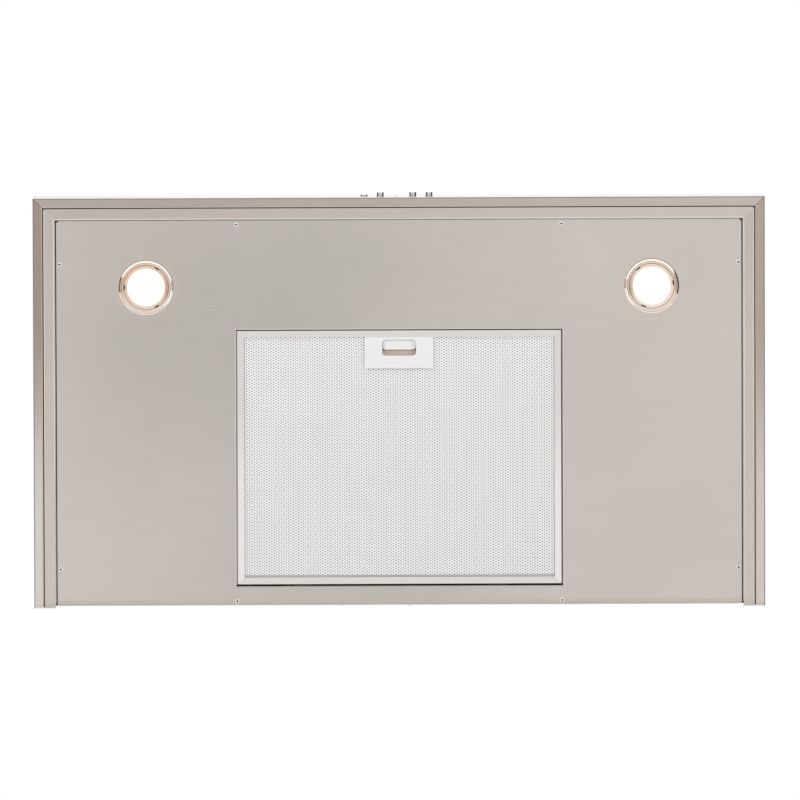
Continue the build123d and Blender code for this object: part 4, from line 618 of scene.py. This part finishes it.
# Black foam swallows nearly all light; these strips are painted shade in the gaps.
black_gap_shade = moulded("painted_gap_shade_black", "24211f", 0.9, 0.8e-3, 0.4)
print(len(bpy.data.materials), "materials with the plastics, the paint and the ceramic")

# %% [markdown]
# ## Lit glass
#
# Both lamps are on. Through the frosted lens the capsule bulb shows as an even warm white disc, a
# little yellower towards its edge, where less light comes through.

# %% Lit glass
def lit_glass(name, middle, edge, strength):
    """Glowing frosted glass; colour changes from the middle of each lamp to its edge."""
    material, tree = new_material(name)
    place = add_node(tree, "ShaderNodeTexCoord", output="Object")
    away, _ = lamp_distance(tree, place)
    glow = faded(tree, middle, edge, away, lens_radius * 0.88, lens_radius)
    look = {"Base Color": "6f675e", "Roughness": 0.5}
    give_look(tree, {**look, "Emission Color": glow, "Emission Strength": strength})
    return material


lens_glass = lit_glass("frosted_glass_lit", "fffaf2", "dfc9b6", 1.1)
bulb_glass = lit_glass("quartz_glass_lit", "fff0d8", "ffe0b0", 1.0)

# %% Give every node its finish
finishes = {
    "canopy_shell": canopy_steel,
    "inner_rim": rim_steel,
    "underside_panel": panel_steel,
    "lower_chimney": chimney_steel,
    "upper_chimney": chimney_steel,
    "filter_frame": frame_aluminium,
    "filter_tabs": blued_steel,
    "filter_face_mesh": mesh_aluminium,
    "filter_rear_mesh": mesh_aluminium,
    "filter_media": layer_aluminium,
    "filter_handle_plate": handle_aluminium,
    "latch_slider": pale_plastic,
    "latch_housing": tray_plastic,
    "terminal_block": pale_plastic,
    "motor": motor_enamel,
    "lamp_transformer": motor_enamel,
    "run_capacitor": can_plastic,
    "pilot_lamp": pilot_lens,
}
zinc_nodes = (
    "back_plate", "panel_brackets", "ceiling_bracket", "blower_scroll", "blower_cover_left",
    "blower_cover_right", "blower_deck", "motor_bracket", "capacitor_clip",
)
black_nodes = (
    "duct_collar", "damper_flap_front", "damper_flap_rear", "switch_body", "impeller", "terminal_box",
    "terminal_box_lid", "cable_gland",
)
fastener_nodes = (
    "damper_pin", "motor_shaft", "panel_screws", "inner_screws", "chimney_screws", "rear_rivets",
    "latch_springs",
)
button_nodes = ("button_light", "button_low", "button_medium", "button_high")
finishes.update(dict.fromkeys(zinc_nodes, zinc))
finishes.update(dict.fromkeys(black_nodes, black_plastic))
finishes.update(dict.fromkeys(fastener_nodes, screw_steel))
finishes.update(dict.fromkeys(button_nodes, button_chrome))
for side in ("left", "right"):
    finishes[f"lamp_{side}_bezel"] = chrome
    finishes[f"lamp_{side}_cone_ring"] = cone_metal
    finishes[f"lamp_{side}_lens"] = lens_glass
    finishes[f"lamp_{side}_housing"] = housing_metal
    finishes[f"lamp_{side}_socket"] = ceramic
    finishes[f"lamp_{side}_bulb"] = bulb_glass
    finishes[f"lamp_{side}_clips"] = screw_steel
for name, node in nodes.items():
    for slot in node.material_slots:
        slot.material = finishes[name]
print(len(finishes), "nodes have a finish;", len(nodes), "nodes in all")

# %% [markdown]
# ## The face of the filter
#
# Expanded metal is one sheet that is slit in staggered rows and pulled apart, so each slit opens to a
# small diamond and the strands between them tilt. The openings stand 6 mm apart across and 3.3 mm
# apart down, every second column half a step lower: about eleven thousand in all. One diamond tile
# is modelled by hand with the opening in its middle, then copied by two arrays.

# %% Model one tile of expanded metal
tiny = 1e-6
weld = 1e-5
just_inside = 0.49
start_radius = 1e-3


def pick(piece, kind, test):
    """In edit mode, select the vertices, edges or polygons that pass the test and nothing else."""
    bpy.ops.mesh.select_mode(type={"vertices": "VERT", "edges": "EDGE", "polygons": "FACE"}[kind])
    bpy.ops.mesh.select_all(action="DESELECT")
    bpy.ops.object.mode_set(mode="OBJECT")
    for part in getattr(piece.data, kind):
        part.select = test(part)
    bpy.ops.object.mode_set(mode="EDIT")


def expanded_metal(name, pitch_x, pitch_y, strand, thickness, tilt, low, high, keep_out):
    """Sheet of expanded metal between two corners; tiles in the keep-out box are left away."""
    columns = round((high.x - low.x) / pitch_x - 0.5)
    rows = round((high.y - low.y) / pitch_y - 0.5)
    tile_x = (low.x + high.x - (columns - 0.5) * pitch_x) / 2
    tile_y = (low.y + high.y - (rows - 0.5) * pitch_y) / 2
    middle_z = (low.z + high.z) / 2

    def from_middle(point):
        """0 in the middle of the tile, 0.5 along its outline."""
        return abs(point.co.x) / pitch_x + abs(point.co.y) / pitch_y

    select_only()
    bpy.ops.mesh.primitive_circle_add(vertices=4, radius=start_radius, fill_type="NGON", location=(0, 0, 0))
    piece = bpy.context.object
    piece.name = name
    bpy.ops.object.mode_set(mode="EDIT")
    bpy.ops.transform.resize(value=(pitch_x / (2 * start_radius), pitch_y / (2 * start_radius), 1))
    bpy.ops.mesh.inset(thickness=strand / 2)
    bpy.ops.mesh.delete(type="FACE")
    pick(piece, "vertices", lambda point: from_middle(point) > just_inside)
    bpy.ops.transform.translate(value=(0, 0, -thickness / 2))
    bpy.ops.mesh.select_all(action="SELECT")
    bpy.ops.mesh.duplicate()
    bpy.ops.transform.resize(value=(1, 1, -1), center_override=(0, 0, 0))
    bpy.ops.mesh.select_all(action="SELECT")
    bpy.ops.mesh.remove_doubles(threshold=tiny)
    pick(piece, "vertices", lambda point: from_middle(point) < just_inside and point.co.y < -weld)
    bpy.ops.transform.translate(value=(0, 0, -tilt))
    pick(piece, "vertices", lambda point: from_middle(point) < just_inside and point.co.y > weld)
    bpy.ops.transform.translate(value=(0, 0, tilt))
    bpy.ops.mesh.select_all(action="SELECT")
    bpy.ops.mesh.duplicate()
    bpy.ops.transform.translate(value=(pitch_x / 2, pitch_y / 2, 0))
    bpy.ops.mesh.select_all(action="SELECT")
    bpy.ops.transform.translate(value=(tile_x, tile_y, middle_z))
    bpy.ops.object.mode_set(mode="OBJECT")
    for count, step in ((columns, (pitch_x, 0, 0)), (rows, (0, pitch_y, 0))):
        array = piece.modifiers.new("array", "ARRAY")
        array.count = count
        array.use_relative_offset = False
        array.use_constant_offset = True
        array.constant_offset_displace = step
        bpy.ops.object.modifier_apply(modifier=array.name)
    bpy.ops.object.mode_set(mode="EDIT")
    free_low, free_high = keep_out
    pick(piece, "vertices", lambda point: all(free_low[n] < point.co[n] < free_high[n] for n in (0, 1)))
    bpy.ops.mesh.delete(type="VERT")
    bpy.ops.mesh.select_all(action="SELECT")
    bpy.ops.mesh.remove_doubles(threshold=weld)
    close_border(piece, thickness)
    bpy.ops.mesh.select_all(action="SELECT")
    bpy.ops.mesh.normals_make_consistent(inside=False)
    bpy.ops.object.mode_set(mode="OBJECT")
    piece.data.materials.append(mesh_aluminium)
    print(name, "has", columns * rows * 2, "openings")
    return piece

# %% Close the border of the cut sheet
def close_border(piece, thickness):
    """Close a cut sheet: walls between the edges of its two faces, then the ends of single strands."""
    bpy.ops.mesh.select_mode(type="EDGE")
    bpy.ops.mesh.select_all(action="DESELECT")
    bpy.ops.mesh.select_non_manifold()
    bpy.ops.object.mode_set(mode="OBJECT")
    points = piece.data.vertices
    middles = {}
    for line in piece.data.edges:
        if line.select:
            one, two = line.vertices
            middles[line.index] = (points[one].co + points[two].co) / 2
    places = KDTree(len(middles))
    for number, middle in middles.items():
        places.insert(middle, number)
    places.balance()
    rise = Vector((0, 0, thickness))
    walls = {number for number, middle in middles.items() if places.find(middle + rise)[2] < weld}
    bpy.ops.object.mode_set(mode="EDIT")
    pick(piece, "edges", lambda line: line.index in walls)
    bpy.ops.mesh.extrude_edges_move(TRANSFORM_OT_translate={"value": rise})
    bpy.ops.mesh.select_all(action="SELECT")
    bpy.ops.mesh.remove_doubles(threshold=weld)
    bpy.ops.mesh.select_all(action="DESELECT")
    bpy.ops.mesh.select_non_manifold()
    bpy.ops.mesh.fill_holes(sides=4)
    bpy.ops.mesh.select_mode(type="VERT")

# %% Make the face mesh of the filter
mesh_low, mesh_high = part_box("filter_face_mesh")
housing_low, housing_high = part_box("latch_housing")
room_before = Vector((4e-3, 10e-3, 0))
room_behind = Vector((4e-3, 3e-3, 0))
frame_lip = 8.3e-3
lip_cover = 3.5e-3
margin = Vector((frame_lip - lip_cover, frame_lip - lip_cover, 0))
face_mesh = expanded_metal(
    "filter_face_expanded",
    pitch_x=6.0e-3,
    pitch_y=3.3e-3,
    strand=1.45e-3,
    thickness=0.5e-3,
    tilt=0.25e-3,
    low=mesh_low + margin,
    high=mesh_high - margin,
    keep_out=(housing_low - room_before, housing_high + room_behind),
)
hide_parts("filter_face_mesh")
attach(face_mesh, "filter")

# %% [markdown]
# ## The lamp rims
#
# Each lamp sits in a chrome rim, pressed from sheet: a rounded lip that overlaps the panel, a groove,
# and a tube that goes up into the housing. Such a round shape is turned: a ring of points is extruded
# and resized from station to station of its profile, until the last ring meets the first.

# %% Turn the lamp rims
crease_angle = math.radians(35)


def turned(name, centre, stations, segments=96, filled=False):
    """Turn a profile of (radius, height) stations about a vertical axis; a filled one has flat ends."""
    select_only()
    radius, height = stations[0]
    bpy.ops.mesh.primitive_circle_add(
        vertices=segments,
        radius=radius,
        fill_type="NGON" if filled else "NOTHING",
        location=centre + Vector((0, 0, height)),
    )
    piece = bpy.context.object
    piece.name = name
    bpy.ops.object.mode_set(mode="EDIT")
    for (radius, height), (next_radius, next_height) in zip(stations, stations[1:]):
        rise = (0, 0, next_height - height)
        bpy.ops.mesh.extrude_region_move(TRANSFORM_OT_translate={"value": rise})
        growth = next_radius / radius
        bpy.ops.transform.resize(value=(growth, growth, 1), center_override=centre)
    bpy.ops.mesh.select_all(action="SELECT")
    bpy.ops.mesh.remove_doubles(threshold=tiny)
    bpy.ops.mesh.normals_make_consistent(inside=False)
    bpy.ops.object.mode_set(mode="OBJECT")
    bpy.ops.object.transform_apply(location=True)
    bpy.ops.object.shade_smooth_by_angle(angle=crease_angle)
    return piece

# %% Make both lamp rims
panel_face = panel_low.z
bezel_profile = [
    (33.7e-3, 0.0), (33.6e-3, -0.12e-3), (32.6e-3, -0.7e-3), (31.6e-3, -1.25e-3), (30.7e-3, -1.75e-3),
    (30.4e-3, -1.79e-3), (30.15e-3, -1.6e-3), (29.9e-3, -1.5e-3), (29.6e-3, -1.6e-3), (29.3e-3, -1.76e-3),
    (28.9e-3, -1.79e-3), (28.5e-3, -1.76e-3), (28.2e-3, -1.62e-3), (29.4e-3, -1.61e-3),
    (29.4e-3, 13.9e-3), (30.4e-3, 13.9e-3), (30.4e-3, 0.0), (33.7e-3, 0.0),
]
for side, sign in (("left", -1), ("right", 1)):
    centre = Vector((sign * lamp_x, lamp_y, panel_face))
    bezel = turned(f"lamp_{side}_chrome_rim", centre, bezel_profile)
    bezel.data.materials.append(chrome)
    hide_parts(f"lamp_{side}_bezel")
    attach(bezel, "hood")
print("lamp rims", round(2000 * bezel_profile[0][0], 1), "mm across")

# %% [markdown]
# ## The slotted rings
#
# A cone-shaped ring of satin aluminium, with the lamp's warm light painted into its colour, holds each
# lens. Three slots take the tool that turns the ring out. The two rings were screwed in by hand, so
# their slots stand at different angles.

# %% Turn and slot the rings
def cut_away(piece, cutter):
    """Take the cutter's space out of the piece; the cutter itself goes away."""
    select_only(piece)
    cut = piece.modifiers.new("cut", "BOOLEAN")
    cut.operation = "DIFFERENCE"
    cut.solver = "EXACT"
    cut.object = cutter
    bpy.ops.object.modifier_apply(modifier=cut.name)
    bpy.data.objects.remove(cutter)


ring_profile = [
    (29.3e-3, -1.6e-3), (29.3e-3, 2.0e-3), (28.4e-3, 2.0e-3), (28.4e-3, -0.4e-3),
    (23.6e-3, 2.0e-3), (23.6e-3, 0.8e-3), (29.3e-3, -1.6e-3),
]
slot_radius = 26.7e-3
slot_half = Vector((0.75e-3, 3.0e-3, 4.0e-3))
slot_count = 3
for side, sign, first_slot in (("left", -1, math.radians(180)), ("right", 1, math.radians(-8))):
    centre = Vector((sign * lamp_x, lamp_y, panel_face))
    ring = turned(f"lamp_{side}_slotted_ring", centre, ring_profile)
    for number in range(slot_count):
        turn = first_slot + number * math.tau / slot_count
        place = centre + slot_radius * Vector((math.cos(turn), math.sin(turn), 0))
        select_only()
        bpy.ops.mesh.primitive_cube_add(size=2, location=place, rotation=(0, 0, turn))
        cutter = bpy.context.object
        cutter.scale = slot_half
        cut_away(ring, cutter)
    ring.data.materials.append(cone_metal)
    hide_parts(f"lamp_{side}_cone_ring")
    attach(ring, "hood")
    print("ring", side, len(ring.data.polygons), "faces")

# %% [markdown]
# ## Dark strips in the gaps, and the hems
#
# Round the rim run two gaps of about 2 mm. Black strips, shaped like foam seals that keep the steel
# from rattling, lie in them as painted shade, so the gaps look dark. The inner edge of the flange and
# the front edge of the panel are hemmed: the sheet is folded back on itself, so that nobody is cut. The
# dark strips and the flange's hem are frames of three strips, open towards the wall: a plane is inset,
# its middle is taken away, it is cut off at the wall and gets a thickness. The panel's hem is a bar.

# %% A strip along three edges
def three_sided_strip(name, half, front, rear, level, width, thickness, finish):
    """Flat strip along the left, front and right edges of a rectangle that is open towards the wall."""
    select_only()
    longer = rear + 4 * width
    bpy.ops.mesh.primitive_plane_add(size=1, location=(0, (front + longer) / 2, level))
    piece = bpy.context.object
    piece.name = name
    bpy.ops.object.mode_set(mode="EDIT")
    bpy.ops.transform.resize(value=(2 * half, longer - front, 1))
    bpy.ops.mesh.inset(thickness=width)
    bpy.ops.mesh.delete(type="FACE")
    bpy.ops.mesh.select_all(action="SELECT")
    bpy.ops.mesh.bisect(plane_co=(0, rear, 0), plane_no=(0, 1, 0), clear_outer=True, use_fill=False)
    bpy.ops.object.mode_set(mode="OBJECT")
    bpy.ops.object.transform_apply(location=True)
    solid = piece.modifiers.new("thickness", "SOLIDIFY")
    solid.thickness = thickness
    solid.offset = 0.0
    bpy.ops.object.modifier_apply(modifier=solid.name)
    bpy.ops.object.mode_set(mode="EDIT")
    bpy.ops.mesh.select_all(action="SELECT")
    bpy.ops.mesh.normals_make_consistent(inside=False)
    bpy.ops.object.mode_set(mode="OBJECT")
    piece.data.materials.append(finish)
    print(name, len(piece.data.polygons), "faces")
    return piece


def ride_hood(piece):
    """The piece belongs to the fixed body of the hood."""
    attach(piece, "hood")

# %% Lay the dark strips in the gaps
gap_strip_width = 1.4e-3
gap_strip_thickness = 0.4e-3
plug_radius = 1.5e-3
plug_profile = [(plug_radius, 0.6e-3), (plug_radius, 0.2e-3), (plug_radius * 0.8, 0.0)]
panel_gap_strip = three_sided_strip(
    "panel_gap_shade_strip",
    half=panel_high.x + gap_strip_width,
    front=panel_low.y - gap_strip_width,
    rear=panel_high.y - 2 * gap_strip_width,
    level=panel_face + gap_strip_thickness,
    width=gap_strip_width,
    thickness=gap_strip_thickness,
    finish=black_gap_shade,
)
rim_gap_strip = three_sided_strip(
    "rim_gap_shade_strip",
    half=flange_inner[0],
    front=-flange_inner[1],
    rear=canopy_high.y - 1.0e-3,
    level=underside_z + 1.3e-3,
    width=rim_gap,
    thickness=gap_strip_thickness,
    finish=black_gap_shade,
)
ride_hood(rim_gap_strip)
plugs = []
for name, sign in (("left", -1), ("right", 1)):
    corner = Vector((sign * (panel_high.x + 0.2e-3), panel_low.y - 0.2e-3, panel_face))
    plug = turned(f"corner_plug_{name}", corner, plug_profile, 24, filled=True)
    plug.data.materials.append(black_gap_shade)
    plugs.append(plug)
select_only(*plugs, panel_gap_strip)
bpy.ops.object.join()
ride_hood(panel_gap_strip)

# %% Fold the hems
def bar(name, low, high, finish, corner=0.0, edge=0.2e-3):
    """Block between two corners with round upright edges and broken lower edges."""
    select_only()
    bpy.ops.mesh.primitive_cube_add(size=1, location=(low + high) / 2)
    piece = bpy.context.object
    piece.name = name
    piece.data.materials.append(finish)
    bpy.ops.object.mode_set(mode="EDIT")
    bpy.ops.transform.resize(value=high - low)
    bpy.ops.object.mode_set(mode="OBJECT")
    bpy.ops.object.transform_apply(location=True)
    if corner:
        round_edges(piece, lambda one, two: abs(one.z - two.z) > tiny, corner, 6)
    round_edges(piece, lambda one, two: max(one.z, two.z) < low.z + tiny, edge, 2)
    return piece


def round_edges(piece, test, radius, segments):
    """Bevel the edges whose two ends pass the test."""
    select_only(piece)
    bpy.ops.object.mode_set(mode="EDIT")
    pick(piece, "edges", lambda line: test(*(piece.data.vertices[end].co for end in line.vertices)))
    bpy.ops.mesh.bevel(offset=radius, segments=segments, affect="EDGES")
    bpy.ops.mesh.select_mode(type="VERT")
    bpy.ops.object.mode_set(mode="OBJECT")


hem_overlap = 0.1e-3
canopy_hem = three_sided_strip(
    "canopy_hem",
    half=flange_inner[0] + hem_overlap,
    front=-flange_inner[1] - hem_overlap,
    rear=canopy_high.y - 0.2e-3,
    level=underside_z + 0.4e-3,
    width=hem_width + hem_overlap,
    thickness=0.7e-3,
    finish=canopy_steel,
)
ride_hood(canopy_hem)
plug_room = 2.5e-3
sheet_thickness = 0.9e-3
panel_hem = bar(
    "panel_hem",
    Vector((panel_low.x + plug_room, panel_low.y - 1.15e-3, panel_face - 0.05e-3)),
    Vector((panel_high.x - plug_room, panel_low.y + hem_overlap, panel_face + sheet_thickness)),
    panel_steel,
)
ride_hood(panel_hem)
print("panel_hem", len(panel_hem.data.polygons), "faces")

# %% [markdown]
# ## Felt guides beside the filter
#
# Two felt strips lie on top of the panel along the opening's sides. They guide the filter's frame and
# keep it from rattling, and they stand for the shade in the gap: a soft grey line, painted paler at the
# left.

# %% Lay the felt guides
def felt_marks(tree, place, shade):
    """Painted shade: paler felt at the left, dark felt at the right."""
    spot = add_node(tree, "ShaderNodeSeparateXYZ", {0: place}).node.outputs
    return faded(tree, shade, "4c4843", spot[0], -0.1, 0.1)


frame_low, frame_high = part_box("filter_frame")
# Pressed wool felt is quite matt and has a coarse nap; its grey is painted shade in the gap.
felt = moulded("grey_felt", "a39e96", 0.95, 0.6e-3, 0.4, marks=felt_marks)
felt_gap = 0.4e-3
felt_width = 4.0e-3
felt_thickness = 1.2e-3
felt_inner = frame_high.x + felt_gap
panel_top = panel_face + sheet_thickness
for name, sign in (("left", -1), ("right", 1)):
    edges = sorted((sign * felt_inner, sign * (felt_inner + felt_width)))
    guide_strip = bar(
        f"filter_guide_{name}",
        Vector((edges[0], frame_low.y, panel_top)),
        Vector((edges[1], frame_high.y, panel_top + felt_thickness)),
        felt,
    )
    ride_hood(guide_strip)
    print("felt guide", name, len(guide_strip.data.polygons), "faces")

# %% [markdown]
# ## The handle plate
#
# The filter's handle is a small plate of anodised aluminium sheet, tucked behind the lip of the
# frame, with a round-cornered window for the latch. It is blanked from sheet, so the plate is a bar
# with a second bar cut out of it.

# %% Blank the handle plate
plate_low, plate_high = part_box("filter_handle_plate")
window_half = 20.8e-3
window_front = -329.6e-3
window_length = 19.5e-3
plate = bar(
    "handle_plate",
    Vector((plate_low.x, frame_low.y + frame_lip, plate_low.z)),
    plate_high,
    handle_aluminium,
    corner=1.5e-3,
    edge=0.1e-3,
)
hole = bar(
    "window_cutter",
    Vector((-window_half, window_front, plate_low.z - 2e-3)),
    Vector((window_half, window_front + window_length, plate_high.z + 2e-3)),
    handle_aluminium,
    corner=4.5e-3,
)
cut_away(plate, hole)
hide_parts("filter_handle_plate")
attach(plate, "filter")
print("handle plate", len(plate.data.polygons), "faces")

# %% [markdown]
# ## The filter's latch
#
# A finger pulls the pale pad towards the wall, and its steel tongue leaves the edge of the opening.
# The pad is a block of moulded ABS with round corners and a shallow dish for the fingertip, sunk in
# two steps. The guide plate behind it and the dark tongue are plain bars with broken edges.

# %% Shape the latch
slider_low, slider_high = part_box("latch_slider")
pad_half = window_half - 0.3e-3
pad_front = window_front + 0.2e-3
pad_length = 12.0e-3
tongue_half = 15e-3
tongue_low, tongue_high, guide_low = (underside_z + height for height in (3.3e-3, 4.5e-3, 4.6e-3))
small_face = 1e-4
pad = bar(
    "latch_pad",
    Vector((-pad_half, pad_front, slider_low.z)),
    Vector((pad_half, pad_front + pad_length, guide_low)),
    pad_plastic,
    corner=4.2e-3,
)
bpy.ops.object.mode_set(mode="EDIT")
pick(pad, "polygons", lambda face: face.normal.z < -0.9 and face.area > small_face)
for margin, depth in ((0.6e-3, 0.0), (1.6e-3, 1.0e-3), (1.6e-3, 0.5e-3)):
    bpy.ops.mesh.inset(thickness=margin)
    bpy.ops.transform.translate(value=(0, 0, depth))
bpy.ops.mesh.select_mode(type="VERT")
bpy.ops.object.mode_set(mode="OBJECT")
guide = bar("latch_guide", Vector((slider_low.x, pad_front, guide_low)), slider_high, guide_plastic)
tongue = bar(
    "latch_tongue",
    Vector((-tongue_half, slider_low.y, tongue_low)),
    Vector((tongue_half, pad_front + 1e-3, tongue_high)),
    blued_steel,
)
select_only(guide, tongue, pad)
bpy.ops.object.join()
bpy.ops.object.shade_smooth_by_angle(angle=crease_angle)
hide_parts("latch_slider")
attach(pad, "latch")
print("latch", len(pad.data.polygons), "faces")

# %% [markdown]
# ## The panel's screws
#
# Eight small pan head screws hold the panel. Each head is turned with a low dome, then a cross recess
# is cut into it with a boolean modifier and painted dark inside, because little light gets in. The
# head is modelled once and copied to the eight places.

# %% Model one screw and copy it
head_radius = 2.75e-3
shaft_radius = 1.7e-3
shaft_length = 7e-3
screw_spots = [(417.2e-3, -424.0e-3), (417.2e-3, -47.5e-3), (200.0e-3, -472.2e-3), (200.0e-3, -7.8e-3)]
screw_profile = [
    (shaft_radius, shaft_length), (shaft_radius, 0.0), (head_radius, 0.0), (head_radius, -0.3e-3),
    (head_radius * 0.94, -0.75e-3), (head_radius * 0.78, -1.05e-3), (head_radius * 0.55, -1.19e-3),
]
recess_half = Vector((1.5e-3, 0.55e-3, 0.85e-3))
recess_middle = Vector((0, 0, -0.65e-3))
# Hardly any light gets into a screw's recess, so it is painted black as shade.
dark_recess = moulded("recess_painted_shade", "1a1918", 0.8, 0.5e-3)
middle = Vector((0, 0, panel_face))
head = turned("panel_screw_heads", middle, screw_profile, 32, filled=True)
for turn in (0, math.pi / 2):
    select_only()
    bpy.ops.mesh.primitive_cube_add(size=2, location=middle + recess_middle, rotation=(0, 0, turn))
    cutter = bpy.context.object
    cutter.scale = recess_half
    cut_away(head, cutter)
head.data.materials.clear()
head.data.materials.append(screw_steel)
head.data.materials.append(dark_recess)
recess_reach = recess_half.x + 0.05e-3
recess_mouth, recess_floor = -1.15e-3, 0.3e-3
for face in head.data.polygons:
    spot = face.center - middle
    in_recess = spot.xy.length < recess_reach and recess_mouth < spot.z < recess_floor
    face.material_index = 1 if in_recess else 0
heads = []
for x, y in screw_spots:
    for sign in (-1, 1):
        select_only(head)
        bpy.ops.object.duplicate()
        bpy.ops.transform.translate(value=(sign * x, y, 0))
        bpy.ops.object.transform_apply(location=True)
        heads.append(bpy.context.object)
bpy.data.objects.remove(head)
select_only(*reversed(heads))
bpy.ops.object.join()
screws = bpy.context.object
screws.name = "panel_screw_heads"
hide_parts("panel_screws")
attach(screws, "hood")
print(len(heads), "screws,", len(screws.data.polygons), "faces")
